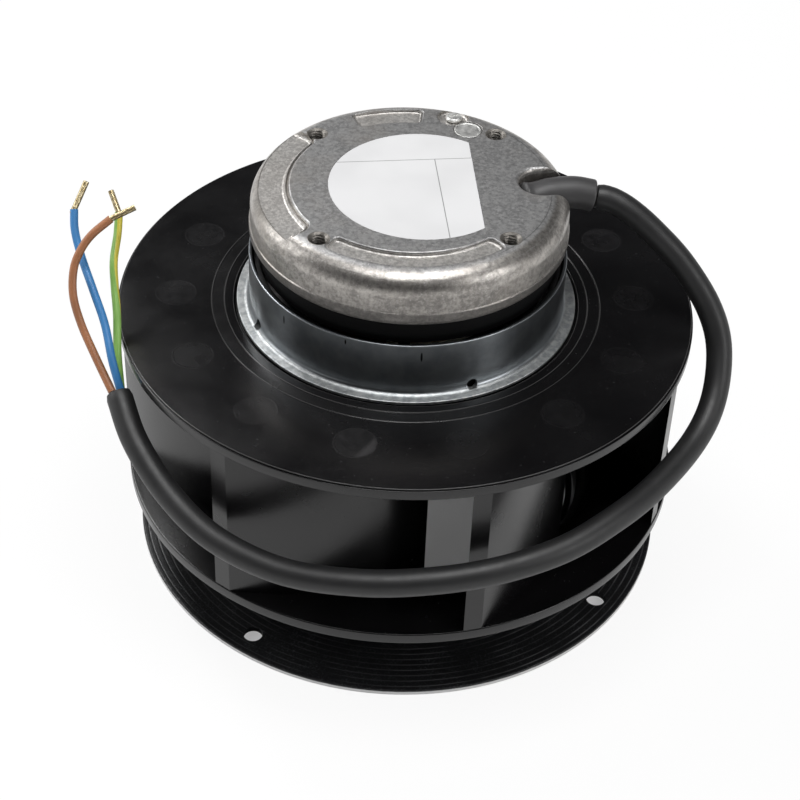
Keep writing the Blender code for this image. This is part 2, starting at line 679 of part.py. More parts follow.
def make_bearing(name, low, rotor, carrier):
    steel = material(name + "_bearing_steel", (0.58, 0.58, 0.60), 0.2, 1.0)
    brass = material(name + "_cage_brass", (0.62, 0.48, 0.22), 0.35, 0.9)
    add(name + "_bearing_outer_ring", turned(outer_race(low), SMALL_TURN), steel)
    add(name + "_bearing_inner_ring", turned(inner_race(low), SMALL_TURN), steel, rotor)
    for index in range(BALLS):
        ball = bmesh.new()
        bmesh.ops.create_uvsphere(ball, u_segments=8, v_segments=5, radius=BALL_R)
        placed = add(f"{name}_bearing_ball_{index + 1}", ball, steel, carrier)
        placed.location = polar(BALL_CIRCLE_R, 2 * math.pi * index / BALLS, 0.0)

    # A crown cage: a flat ring under the balls, with a post between each two of them.
    ring_top = -BALL_R - SEAT
    inner, outer = BALL_CIRCLE_R - CAGE_W / 2, BALL_CIRCLE_R + CAGE_W / 2
    cage = turned([
        (outer, ring_top), (outer, ring_top - CAGE_T), (inner, ring_top - CAGE_T), (inner, ring_top),
    ], SMALL_TURN)
    posts = bmesh.new()
    for index in range(BALLS):
        angle = 2 * math.pi * (index + 0.5) / BALLS
        post = sector(
            inner + POST_INSET, outer - POST_INSET, angle - POST_HALF_ANGLE, angle + POST_HALF_ANGLE, 1)
        prism(post, ring_top - CAGE_T / 2, POST_TOP, posts)
    crown = add(name + "_bearing_cage", cage, brass, carrier)
    join = cutter(name + "_cage_posts", posts)
    join.parent = carrier
    combine(crown, join, "UNION")


def make_bearing_stack():
    spring_steel = material("spring_steel", (0.35, 0.35, 0.37), 0.3, 1.0)
    bottom = LOWER_BEARING_Z + BEARING_W + SEAT
    top = UPPER_BEARING_Z - SEAT
    sleeve = [(BEARING_R, top), (BEARING_R, bottom), (RACE_OUTER_R, bottom), (RACE_OUTER_R, top)]
    add("bearing_spacer", turned(sleeve, INNER_TURN), spring_steel)

    steps = 8 * SPRING_WAVES
    inner, outer = RACE_OUTER_R, BEARING_R - SEAT
    rings = []
    for step in range(steps):
        angle = 2 * math.pi * step / steps
        lift = SPRING_BOTTOM + SPRING_WAVE * (0.5 - 0.5 * math.cos(SPRING_WAVES * angle))
        rings.append([
            polar(inner, angle, lift), polar(outer, angle, lift),
            polar(outer, angle, lift + SPRING_T), polar(inner, angle, lift + SPRING_T),
        ])
    add("preload_wave_spring", looped(rings), spring_steel)

    wall = TUBE_BORE_R + GROOVE_DEPTH - SEAT / 2
    ends = (CIRCLIP_GAP / 2, 2 * math.pi - CIRCLIP_GAP / 2)
    ring = sector(wall - CIRCLIP_WALL, wall, *ends, RETAINING_RING_CHORDS)
    low = CIRCLIP_GROOVE_BOTTOM + SEAT
    add("bearing_retaining_ring", prism(ring, low, low + CIRCLIP_T), spring_steel)


def looped(rings):
    """One closed body through rings of points, the last joined to the first."""
    body = bmesh.new()
    rows = [[body.verts.new(point) for point in ring] for ring in rings]
    for low, high in zip(rows, rows[1:] + rows[:1]):
        for index in range(len(low)):
            corner = (index + 1) % len(low)
            body.faces.new((low[index], low[corner], high[corner], high[index]))
    return facing_out(body)


# Stator

def window(pole):
    """The winding window next to a pole, with its mouth to the air gap, seen from above."""
    middle = pole + math.pi / 2
    mouth = WINDOW_MOUTH / 2 / WINDOW_OUT_R
    outside = STATOR_R + THROUGH
    spread = (WINDOW_HALF_ANGLE - mouth) / 3
    inner = [polar(WINDOW_IN_R, middle + WINDOW_HALF_ANGLE * share / 4) for share in range(-4, 5)]
    far = [polar(WINDOW_OUT_R, middle + WINDOW_HALF_ANGLE - spread * step) for step in range(4)]
    near = [polar(WINDOW_OUT_R, middle - mouth - spread * step) for step in range(4)]
    return inner + far + [polar(outside, middle + mouth), polar(outside, middle - mouth)] + near


def shading_slots(pole):
    """The two slots in one pole's shoe that its shading ring passes through."""
    half = SHADING_SLOT_W / 2 / SHADING_R
    inner, outside = SHADING_R - COIL_GAP, STATOR_R + THROUGH
    middles = (pole + SHADING_FROM, pole + SHADING_TO)
    return [sector(inner, outside, middle - half, middle + half, 1) for middle in middles]


def stator_cuts(outlines):
    cuts = bmesh.new()
    for pole in (0.0, math.pi):
        for outline in outlines(pole):
            prism(outline, INSULATOR_BOTTOM - THROUGH, INSULATOR_TOP + THROUGH, cuts)
    return cuts


def curved_frame(name, inner, outer, angles, heights, hole_angles, hole_heights, look, chords):
    """A loop of wire bent round the axis: part of a ring with a window through it."""
    loop = add(name, prism(sector(inner, outer, *angles, chords), *heights), look)
    through = sector(inner - THROUGH, outer + THROUGH, *hole_angles, chords)
    return combine(loop, cutter(name + "_hole", prism(through, *hole_heights)), "DIFFERENCE")


def make_stator():
    laminate = material("stator_lamination", (0.24, 0.24, 0.25), 0.5, 0.8)
    plastic = material("insulator_plastic", (0.75, 0.74, 0.68), 0.5)
    enamel = material("winding_enamel", (0.45, 0.16, 0.05), 0.3, 0.6)
    copper = material("shading_copper", (0.70, 0.35, 0.20), 0.35, 1.0)
    bore = TUBE_R + SEAT
    windows = cutter("winding_windows", stator_cuts(lambda pole: [window(pole)]))
    slots = cutter("shading_slots", stator_cuts(shading_slots))

    def ring(name, low, high, outer, look):
        outline = [(outer, high), (outer, low), (bore, low), (bore, high)]
        return combine(add(name, turned(outline, INNER_TURN), look), windows, "DIFFERENCE")

    combine(ring("stator_core", STACK_BOTTOM, STACK_TOP, STATOR_R, laminate), slots, "DIFFERENCE")
    insulator_r = SHADING_R - COIL_GAP
    ring("insulator_upper", STACK_TOP + SEAT, INSULATOR_TOP, insulator_r, plastic)
    ring("insulator_lower", INSULATOR_BOTTOM, STACK_BOTTOM - SEAT, insulator_r, plastic)

    reach = math.pi / 2 - COIL_END_GAP
    pole = math.pi / 2 - WINDOW_HALF_ANGLE + math.radians(1.5)
    hole = (INSULATOR_BOTTOM - SEAT, INSULATOR_TOP + SEAT)
    for name, middle in (("coil_right", 0.0), ("coil_left", math.pi)):
        curved_frame(
            name, COIL_IN_R, COIL_OUT_R, (middle - reach, middle + reach), (COIL_BOTTOM, COIL_TOP),
            (middle - pole, middle + pole), hole, enamel, COIL_CHORDS)
        half = SHADING_WIRE / 2 / SHADING_R
        first, last = middle + SHADING_FROM, middle + SHADING_TO
        shading = name.replace("coil", "shading_ring")
        curved_frame(
            shading, SHADING_R, SHADING_R + SHADING_WIRE, (first - half, last + half),
            (hole[0] - SHADING_WIRE, hole[1] + SHADING_WIRE), (first + half, last - half), hole, copper, 4)

    depth, width, height = PROTECTOR_SIZE
    middle = (COIL_IN_R + COIL_OUT_R) / 2
    box = rounded([
        (middle + depth / 2 * x, width / 2 * y, PROTECTOR_ROUND)
        for x, y in ((-1, -1), (1, -1), (1, 1), (-1, 1))
    ])
    white = material("protector_case", (0.8, 0.8, 0.78), 0.4)
    add("thermal_protector", prism(box, COIL_TOP + SEAT, COIL_TOP + SEAT + height), white)


def make_winding_cover():
    black = material("cover_plastic", (0.012, 0.012, 0.013), 0.35)
    bore = TUBE_SHOULDER_R + SEAT
    disc_low = COVER_DISC_TOP - COVER_DISC_T
    outline = rounded([
        (COVER_SKIRT_R, COVER_DISC_TOP),
        (COVER_SKIRT_R, COVER_SKIRT_BOTTOM),
        (COVER_SKIRT_R - COVER_SKIRT_T, COVER_SKIRT_BOTTOM),
        (COVER_SKIRT_R - COVER_SKIRT_T, disc_low, COVER_SKIRT_FILLET),
        (bore, disc_low),
        (bore, COVER_DISC_TOP),
    ])
    cover = add("winding_cover", turned(outline, TURN), black)
    hole = prism(circle(lead_hole_centre(), LEAD_HOLE_R), disc_low - THROUGH, COVER_DISC_TOP + THROUGH)
    combine(cover, cutter("cover_lead_hole", hole), "DIFFERENCE")


# Motor flange

def flange_outline():
    """Half of the casting's section: the dish outside, and the tube that holds the bearings."""
    lip_top = FLANGE_BOTTOM + FLANGE_LIP_H
    groove_wall = TUBE_BORE_R + GROOVE_DEPTH
    return rounded([
        (0.0, FLANGE_TOP),
        (FLANGE_R - FLANGE_DRAFT, FLANGE_TOP, FLANGE_SHOULDER),
        (FLANGE_R, lip_top + FLANGE_LIP_BEVEL),
        (FLANGE_R - FLANGE_LIP_SET_IN, lip_top),
        (FLANGE_R - FLANGE_LIP_SET_IN, FLANGE_BOTTOM),
        (CAVITY_R, FLANGE_BOTTOM),
        (CAVITY_R, CAVITY_TOP),
        (TUBE_SHOULDER_R, CAVITY_TOP),
        (TUBE_SHOULDER_R, TUBE_SHOULDER_Z),
        (TUBE_R, TUBE_SHOULDER_Z),
        (TUBE_R, TUBE_BOTTOM),
        (TUBE_BORE_R, TUBE_BOTTOM),
        (TUBE_BORE_R, CIRCLIP_GROOVE_BOTTOM),
        (groove_wall, CIRCLIP_GROOVE_BOTTOM),
        (groove_wall, LOWER_BEARING_Z),
        (TUBE_BORE_R, LOWER_BEARING_Z),
        (TUBE_BORE_R, TUBE_TOP),
        (0.0, TUBE_TOP),
    ], chords=3)


def lead_hole_centre():
    """Where the leads pass down from the notch, through the casting and the winding cover."""
    return NOTCH_CENTRE - Vector((LEAD_HOLE_SHIFT, 0.0))


def notch_outline():
    """A slot with a round inner end, turned a little, that runs out through the rim."""
    half = NOTCH_W / 2
    turns = [math.pi / 2 + math.pi * step / 8 for step in range(9)]
    points = [(half * math.cos(t), half * math.sin(t)) for t in turns]
    points += [(FLANGE_R / 2, -half), (FLANGE_R / 2, half)]
    turn = cmath.exp(1j * NOTCH_TURN)
    placed = [complex(*NOTCH_CENTRE) + complex(x, y) * turn for x, y in points]
    return [(point.real, point.imag) for point in placed]


def flange_cuts():
    cuts = bmesh.new()
    above = FLANGE_TOP + THROUGH
    for index in range(4):
        centre = polar(TAP_CIRCLE_R, TAP_START + index * math.pi / 2)
        prism(circle(centre, TAP_D / 2, 16), FLANGE_TOP - TAP_DEPTH, above, cuts)
    for radii, arc, depth in (
        (FRONT_POCKET_R, FRONT_POCKET_ARC, POCKET_DEPTH),
        (REAR_POCKET_R, REAR_POCKET_ARC, POCKET_DEPTH),
        ((STEP_IN_R, FLANGE_R + THROUGH), STEP_ARC, STEP_DEPTH),
    ):
        prism(sector(*radii, *arc, POCKET_CHORDS), FLANGE_TOP - depth, above, cuts)
    screw_floor = FLANGE_TOP - SCREW_HEAD_H - SEAT
    prism(circle(polar(*SCREW_AT), SCREW_POCKET_R, 18), screw_floor, above, cuts)
    prism(circle(polar(*PLUG_AT), PLUG_R + SEAT, 20), FLANGE_TOP - PLUG_T - SEAT, above, cuts)
    prism(label_outline(LABEL_R + SEAT, LABEL_CUT_AT + SEAT), FLANGE_TOP - LABEL_RECESS, above, cuts)
    return cuts


def flange_bores():
    """The deeper cuts that start inside the first ones: the screw's bore, and the cable's way in."""
    cuts = bmesh.new()
    bore_bottom = FLANGE_TOP - SCREW_HEAD_H - SCREW_SHANK_H - 2 * SEAT
    prism(circle(polar(*SCREW_AT), SCREW_SHANK_R + SEAT), bore_bottom, FLANGE_TOP, cuts)
    prism(notch_outline(), NOTCH_FLOOR, FLANGE_TOP + THROUGH, cuts)
    return cuts


def make_flange():
    cast = material("die_cast_aluminium", (0.45, 0.45, 0.46), 0.42, 0.9)
    flange = add("motor_flange", turned(flange_outline(), TURN), cast)
    combine(flange, cutter("flange_cuts", flange_cuts()), "DIFFERENCE")
    combine(flange, cutter("flange_bores", flange_bores()), "DIFFERENCE")
    lead_hole = prism(circle(lead_hole_centre(), LEAD_HOLE_R), FLANGE_BOTTOM - THROUGH, NOTCH_FLOOR + MM)
    combine(flange, cutter("flange_lead_hole", lead_hole), "DIFFERENCE")

    zinc = material("screw_zinc", (0.70, 0.70, 0.68), 0.3, 1.0)
    under_head = FLANGE_TOP - SCREW_HEAD_H
    screw = turned([
        (0.0, FLANGE_TOP), (SCREW_HEAD_R - SCREW_HEAD_CHAMFER, FLANGE_TOP),
        (SCREW_HEAD_R, FLANGE_TOP - SCREW_HEAD_CHAMFER), (SCREW_HEAD_R, under_head),
        (SCREW_SHANK_R, under_head), (SCREW_SHANK_R, under_head - SCREW_SHANK_H),
        (0.0, under_head - SCREW_SHANK_H),
    ], 18)
    add("earth_screw", screw, zinc).location = polar(*SCREW_AT, 0.0)
    plug = turned([
        (0.0, FLANGE_TOP), (PLUG_R, FLANGE_TOP), (PLUG_R, FLANGE_TOP - PLUG_T), (0.0, FLANGE_TOP - PLUG_T),
    ], 20)
    add("blanking_disc", plug, zinc).location = polar(*PLUG_AT, 0.0)

    film = material("label_film", (0.85, 0.85, 0.84), 0.4)
    middle = FLANGE_TOP - LABEL_RECESS / 2
    body = prism(label_outline(LABEL_R, LABEL_CUT_AT), middle - LABEL_T / 2, middle + LABEL_T / 2)
    add("rating_label", body, film)


def label_outline(radius, cut_at):
    """A disc whose side towards the cable is cut off straight."""
    half_cut = math.acos(cut_at / radius)
    start, end = LABEL_CUT_TOWARDS + half_cut, LABEL_CUT_TOWARDS - half_cut + 2 * math.pi
    arc = [polar(radius, start + (end - start) * step / TURN) for step in range(TURN + 1)]
    return [(LABEL_CENTRE_X + x, y) for x, y in arc]


# Cable

def from_face(*route):
    """Route points in metres, moved from the mounting face to the part's own origin."""
    return [Vector(point) * MM + Vector((0.0, 0.0, FLANGE_TOP)) for point in route]


def smooth_route(stops, spacing):
    """Points at equal steps along a smooth curve through the route's own points."""
    ends = [stops[0] * 2 - stops[1]] + stops + [stops[-1] * 2 - stops[-2]]
    dense = []
    for a, b, c, d in zip(ends, ends[1:], ends[2:], ends[3:]):
        for step in range(24):
            t = step / 24
            dense.append(0.5 * (
                2 * b + (c - a) * t + (2 * a - 5 * b + 4 * c - d) * t ** 2
                + (3 * b - a - 3 * c + d) * t ** 3))
    dense.append(stops[-1])
    length = sum((q - p).length for p, q in zip(dense, dense[1:]))
    pieces = max(2, round(length / spacing))
    points, walked, target = [dense[0]], 0.0, length / pieces
    for p, q in zip(dense, dense[1:]):
        walked += (q - p).length
        if walked >= target and len(points) < pieces:
            points.append(q)
            target += length / pieces
    points.append(dense[-1])
    return points


def tube(name, points, diameter, look, radii=None):
    curve = bpy.data.curves.new(name, "CURVE")
    curve.dimensions = "3D"
    curve.bevel_depth = diameter / 2
    curve.bevel_resolution = 2
    curve.use_fill_caps = True
    spline = curve.splines.new("POLY")
    spline.points.add(len(points) - 1)
    for index, point in enumerate(points):
        spline.points[index].co = (*point, 1.0)
        spline.points[index].radius = radii[index] if radii else 1.0
    curve.materials.append(look)
    obj = bpy.data.objects.new(name, curve)
    bpy.context.scene.collection.objects.link(obj)
    return obj


def make_cable():
    jacket = material("cable_jacket", (0.02, 0.02, 0.022), 0.45)
    sleeving = material("sleeve_rubber", (0.03, 0.03, 0.032), 0.5)
    metal = material("tinned_copper", (0.70, 0.62, 0.42), 0.35, 1.0)
    sleeve = smooth_route(from_face(*SLEEVE_ROUTE), SLEEVE_SPACING)
    tube("cable_sleeve", sleeve, SLEEVE_D, sleeving, [0.55, 0.85] + [1.0] * (len(sleeve) - 2))
    tube("power_cable", smooth_route(from_face(*CABLE_ROUTE), CABLE_SPACING), CABLE_D, jacket)
    cores = (
        ("blue", BLUE_ROUTE, BLUE_END, (0.03, 0.22, 0.56)),
        ("brown", BROWN_ROUTE, BROWN_END, (0.30, 0.10, 0.04)),
        ("green_yellow", GREEN_YELLOW_ROUTE, GREEN_YELLOW_END, (0.24, 0.42, 0.08)),
    )
    for name, route, end, color in cores:
        points = smooth_route(from_face(*route), CORE_SPACING)
        tube("core_" + name, points, CORE_D, material("insulation_" + name, color, 0.4))
        (tip,) = from_face(end)
        start = points[-1] + (tip - points[-1]).normalized() * SEAT
        tube("conductor_" + name, [start, tip], CONDUCTOR_D, metal)
    make_leads()


def make_leads():
    """Three short leads from the cable's way in, past the winding cover to the thermal protector."""
    centre = lead_hole_centre()
    sheath = material("lead_sheath", (0.7, 0.68, 0.6), 0.5)
    depth, _, height = PROTECTOR_SIZE
    landing = (COIL_IN_R + COIL_OUT_R + depth) / 2 + SEAT
    level = COIL_TOP + SEAT + height / 2
    for name, aside in (("lead_a", -LEAD_PITCH), ("lead_b", 0.0), ("lead_c", LEAD_PITCH)):
        y = centre.y + aside
        bend = LEAD_D * 1.5
        stops = [Vector(point) for point in (
            (centre.x, y, NOTCH_FLOOR), (centre.x, y, level + 2 * bend),
            (centre.x - bend / 2, y, level + bend / 2), (landing + bend / 2, y, level), (landing, y, level),
        )]
        tube(name, smooth_route(stops, LEAD_SPACING), LEAD_D, sheath)


clear_scene()
rotor_axis = axis_empty("rotor_axis", 0.0)
lower_balls = axis_empty("lower_ball_axis", LOWER_BEARING_Z + BEARING_W / 2)
upper_balls = axis_empty("upper_ball_axis", UPPER_BEARING_Z + BEARING_W / 2)
make_inlet_ring()
make_impeller(rotor_axis)
make_rotor(rotor_axis)
make_bearing("lower", LOWER_BEARING_Z, rotor_axis, lower_balls)
make_bearing("upper", UPPER_BEARING_Z, rotor_axis, upper_balls)
make_bearing_stack()
make_stator()
make_winding_cover()
make_flange()
make_cable()
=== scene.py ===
"""The looks of the centrifugal fan: smooth surfaces, finishes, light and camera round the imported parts."""

import json
import math

import bmesh
import bpy
import numpy as np
from mathutils import Matrix, Vector


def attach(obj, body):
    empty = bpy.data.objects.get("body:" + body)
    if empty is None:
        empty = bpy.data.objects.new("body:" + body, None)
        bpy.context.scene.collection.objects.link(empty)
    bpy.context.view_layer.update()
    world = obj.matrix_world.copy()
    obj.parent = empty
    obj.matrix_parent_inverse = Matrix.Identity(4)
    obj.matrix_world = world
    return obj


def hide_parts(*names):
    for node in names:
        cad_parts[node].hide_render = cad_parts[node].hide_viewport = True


MM = 0.001
FULL = 2 * math.pi
WHITE = (1.0, 1.0, 1.0, 1.0)

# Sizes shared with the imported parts, in millimetres, with azimuths in degrees
PLATE_R, PLATE_TOP, PLATE_LOW = 67.0, 66.4, 63.6
BLADES, BLADE_TIP, BLADE_IN, BLADE_EMBED = 7, 66.55, 45.0, 0.8
BLADE_START, BLADE_LEAN = math.radians(-74.4), math.radians(27.0)
BLADE_NOSE_T, BLADE_T = 0.9, 1.9
COVER_R, COVER_TOP, COVER_T = 66.75, 22.3, 2.8
COVER_CURVE_R, COVER_CURVE_Z, EYE_R = 54.0, 12.0, 44.6
COVER_FOOT, COVER_FOOT_T = 6.5, 2.0
INLET_R, INLET_T, INLET_CURVE_R, INLET_BEND = 64.8, 1.5, 50.5, 8.2
THROAT_R, THROAT_TOP = 42.3, 10.0
INLET_HOLES, INLET_HOLE_CIRCLE, INLET_HOLE_AZIMUTH, INLET_HOLE_R = 4, 59.0, -33.8, 2.25
GROOVE_START, GROOVE_PITCH, GROOVE_MIDDLE, GROOVE_HALF, GROOVE_DEPTH = 51.2, 1.65, 0.8, 0.16, 0.05
COLLAR_IN, COLLAR_R, COLLAR_TOP = 35.7, 36.5, 80.3
COLLAR_HOLES, COLLAR_HOLE_AZIMUTH, COLLAR_HOLE_Z, COLLAR_HOLE_R = 4, -65.3, 67.96, 1.2
BEARING_LOWS = {"lower": 50.0, "upper": 82.0}
BEARING_W, BEARING_R, BEARING_BORE, SHIELD_IN, SHIELD_T = 7.0, 11.0, 4.3, 6.3, 0.4
BALLS, BALL_CIRCLE, BALL_R, TRACK_R, LAND_STEP = 7, 7.5, 1.985, 2.285, 1.5
FLANGE_TOP = 97.5
TAPS, TAP_CIRCLE, TAP_AZIMUTH, TAP_BOTTOM = 4, 29.35, 48.9, 89.5
THREAD_PITCH, THREAD_IN, THREAD_DEPTH, TAP_MOUTH = 0.7, 1.68, 0.34, 2.42
SCREW_AT, DISC_AT = (31.2, 72.3), (26.9, 61.6)
LABEL_R, LABEL_CUT, LABEL_X, LABEL_TURN = 21.0, 12.3, 2.5, math.radians(5.9)
NOTCH_AT, NOTCH_HALF, NOTCH_REACH, NOTCH_TURN = complex(29.3, 3.4), 4.8, 12.0, math.radians(12)
CABLE_R, CORE_R, STRANDED_R = 3.0, 0.925, 0.68
SLEEVE_R, SLEEVE_BORE, SLEEVE_NOSE, SLEEVE_INTO_NOTCH, SLEEVE_LIFT = 3.7, 3.15, 1.0, 3.3, 1.1

# Marks in the finishes: millimetres and degrees, or metres where a line says so
MARKS, MARK_CIRCLE, MARK_AZIMUTH = 14, 53.5, 23.1 + 360 / 28
# Painted highlights on the back plate's step edges and rim: radius and strength
PAINTED_RING_HIGHLIGHTS = ((40.30, 0.9), (42.32, 0.8), (45.30, 0.6), (66.52, 0.7))
# Painted shade round the collar, as black ellipses: three small slits, then the four holes. Azimuth, height,
# width, tallness.
COLLAR_SHADE_SPOTS = [(-137.0, 77.1, 0.22, 1.2), (-83.9, 77.3, 0.25, 1.3), (-110.4, 79.0, 0.2, 0.7)]
COLLAR_SHADE_SPOTS += [(COLLAR_HOLE_AZIMUTH + 90 * k, COLLAR_HOLE_Z, 1.25, 1.3) for k in (-1, 0, 1, 2)]
LABEL_RULE = (-15.79, 7.80, 12.78, 11.60)
LABEL_DROP = (5.26, 10.21, 8.90, -19.68)
RULE_EDGE, RULE_CORE = 0.00013, 0.00007  # metres
STRIPE_TURN, STRIPE_TWIST, STRIPE_END = 0.62, 425.0, 0.041  # turns, turns per square metre, metres
STRANDS, STRAND_LAY = 14, 300.0  # how many, and radians per metre

# Height bands in metres, from where a mark is absent to where it is full
FACE_BAND = (0.0970, 0.0974)
PLATE_BAND = (0.0661, 0.0663)
COLLAR_FLANGE_BAND = (0.0676, 0.0670)

# Route points of the cable and its cores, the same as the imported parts', with Z from the mounting face
SLEEVE_ROUTE = [(27.6, 3.3, -4.6), (32.0, 4.6, -4.1), (37.0, 5.6, -4.1), (41.5, 5.8, -4.9)]
CABLE_ROUTE = [
    (42.25, 5.78, -5.08), (46.0, 5.5, -5.85), (50.4, 3.9, -7.7), (55.9, 1.6, -11.5), (62.9, -1.4, -17.8),
    (69.7, -5.9, -26.5), (72.7, -10.9, -34.6), (71.7, -19.3, -43.0), (66.7, -29.2, -47.8),
    (56.9, -43.1, -49.4), (46.9, -54.2, -49.5), (35.8, -62.8, -50.5), (21.9, -68.8, -51.6),
    (7.2, -71.5, -52.9), (-7.8, -71.4, -54.3), (-24.3, -67.9, -55.3), (-39.4, -60.3, -54.0),
    (-50.3, -50.9, -50.3), (-58.8, -40.3, -44.6), (-63.6, -30.6, -38.9),
]
CORE_ROUTES = {
    "blue": [
        (-63.1, -30.6, -37.7), (-65.0, -27.4, -32.0), (-67.2, -21.1, -26.8), (-70.4, -15.2, -21.5),
        (-73.8, -8.4, -17.1), (-75.5, -4.3, -13.2), (-75.9, -1.1, -9.9),
    ],
    "brown": [
        (-65.0, -30.5, -38.5), (-69.1, -25.0, -33.3), (-72.7, -20.1, -27.9), (-74.5, -17.3, -22.0),
        (-74.5, -14.2, -17.0), (-73.0, -12.1, -13.2), (-70.5, -10.2, -10.1), (-66.4, -8.1, -7.1),
    ],
    "green_yellow": [
        (-63.2, -29.4, -39.2), (-64.3, -24.0, -32.5), (-64.9, -17.9, -26.5), (-65.8, -13.1, -22.2),
        (-66.3, -9.2, -17.9), (-65.9, -4.1, -14.0), (-65.8, -1.0, -10.3),
    ],
}
CORE_TIPS = {"blue": (-73.5, 3.7, -5.4), "brown": (-61.1, -6.3, -5.0), "green_yellow": (-67.9, 2.6, -6.9)}


# Shader nodes and objects

def put(tree, socket, value):
    """Sets a socket's value, or links it to the socket that feeds it."""
    if isinstance(value, bpy.types.NodeSocket):
        tree.links.new(value, socket)
    else:
        socket.default_value = value


def add_node(tree, kind, inputs=(), **settings):
    node = tree.nodes.new(kind)
    for name, value in settings.items():
        setattr(node, name, value)
    for socket, value in dict(inputs).items():
        put(tree, node.inputs[socket], value)
    return node


def add_object(name, data):
    obj = bpy.data.objects.new(name, data)
    bpy.context.scene.collection.objects.link(obj)
    return obj


# Camera and studio

def place_camera():
    """The photograph's view: 40 degrees down on the fan, turned a little about the line of sight."""
    elevation, roll = math.radians(40.30), math.radians(2.38)
    target, distance = Vector((-0.0004, 0.0, 0.0342)), 0.4675
    back = Vector((0.0, -math.cos(elevation), math.sin(elevation)))
    right, up = Vector((1.0, 0.0, 0.0)), Vector((0.0, math.sin(elevation), math.cos(elevation)))
    across = right * math.cos(roll) + up * math.sin(roll)
    upward = up * math.cos(roll) - right * math.sin(roll)
    camera = add_object("camera", bpy.data.cameras.new("camera"))
    camera.data.sensor_width = 36.0
    camera.data.lens = 85.9
    camera.data.clip_start, camera.data.clip_end = 0.01, 20.0
    pose = Matrix((across, upward, back)).transposed().to_4x4()
    pose.translation = target + back * distance
    camera.matrix_world = pose
    bpy.context.scene.camera = camera


def soft_lamp(name, place, aim, size, watts):
    lamp = bpy.data.lights.new(name, "AREA")
    lamp.shape = "RECTANGLE"
    lamp.size, lamp.size_y = size
    lamp.energy = watts
    obj = add_object(name, lamp)
    obj.location = place
    obj.rotation_euler = (Vector(aim) - Vector(place)).to_track_quat("-Z", "Y").to_euler()


def build_room():
    """Light from all round: white near the horizon, dark above and in front. The camera sees white."""
    world = bpy.data.worlds.new("studio")
    bpy.context.scene.world = world
    world.use_nodes = True
    tree = world.node_tree
    tree.nodes.clear()
    direction = add_node(tree, "ShaderNodeTexCoord").outputs["Generated"]
    _, y, z = add_node(tree, "ShaderNodeSeparateXYZ", {0: direction}).outputs
    height = add_node(tree, "ShaderNodeMapRange", {"Value": z, "From Min": -0.2, "From Max": 0.8})
    shade = add_node(tree, "ShaderNodeValToRGB", {"Fac": height.outputs["Result"]})
    low, high = shade.color_ramp.elements
    low.color, low.position = (0.95, 0.95, 0.95, 1.0), 0.24
    high.color, high.position = (0.035, 0.035, 0.037, 1.0), 0.52
    front = add_node(tree, "ShaderNodeMapRange", {
        "Value": y, "From Min": -0.95, "From Max": -0.45, "To Min": 0.10, "To Max": 0.8,
    }, interpolation_type="SMOOTHSTEP")
    around = add_node(tree, "ShaderNodeBackground", {
        "Color": shade.outputs["Color"], "Strength": front.outputs["Result"]})
    seen = add_node(tree, "ShaderNodeBackground", {"Color": WHITE})
    camera_ray = add_node(tree, "ShaderNodeLightPath").outputs["Is Camera Ray"]
    mix = add_node(tree, "ShaderNodeMixShader", {"Fac": camera_ray, 1: around.outputs[0], 2: seen.outputs[0]})
    add_node(tree, "ShaderNodeOutputWorld", {"Surface": mix.outputs[0]})


def build_studio():
    """A pale floor, the light of the room, and four soft boxes."""
    bpy.context.scene.view_settings.view_transform = "Standard"
    build_room()
    reach, low = 3000.0, -0.2
    corners = [[(-reach, -reach, low), (reach, -reach, low)], [(-reach, reach, low), (reach, reach, low)]]
    floor = piece("floor", skin(np.array(corners), around=False))
    floor.data.materials.append(pale_floor())

    soft_lamp("overhead_box", (0.05, -0.10, 0.95), (0, 0, 0.08), (0.60, 0.45), 6.8)
    soft_lamp("back_box", (-0.50, 0.56, 0.78), (0, 0, 0.08), (0.3, 0.3), 4.6)
    soft_lamp("left_box", (-0.80, 0.10, 0.45), (0, 0, 0.06), (0.35, 0.5), 2.2)
    soft_lamp("right_box", (0.76, -0.46, 0.53), (0, 0, 0.06), (0.35, 0.45), 2.4)


def pale_floor():
    """White paper. Beyond the fan the camera and shiny metal see it glow evenly. Under the fan its glow
    is turned down in steps by radius, a painted shadow over the real one: least under the eye, more under
    the ring's holes, and none in reflections inside 60 mm."""
    f = Finish("pale_floor", (0.92, 0.92, 0.92), 0.9)
    glow = f.add("ShaderNodeEmission", {"Color": WHITE})
    path = f.add("ShaderNodeLightPath").outputs
    r = f.radius()
    # Painted shadow: the glow's share steps down under the fan, and reflections see no glow inside 60 mm.
    inner = f.plus(f.times(f.band(r, 0.050, 0.056), 0.27), 0.075)
    under = f.plus(inner, f.times(f.band(r, 0.0635, 0.0648), 0.565))
    shiny = f.times(f.band(r, 0.060, 0.068), 0.75)
    share = f.plus(f.times(path["Is Camera Ray"], under), f.times(path["Is Glossy Ray"], shiny))
    mix = f.add("ShaderNodeMixShader", {0: share, 1: f.shader.outputs[0], 2: glow.outputs[0]})
    f.tree.links.new(mix.outputs[0], f.tree.nodes["Material Output"].inputs["Surface"])
    return f.material


# Surfaces from arrays

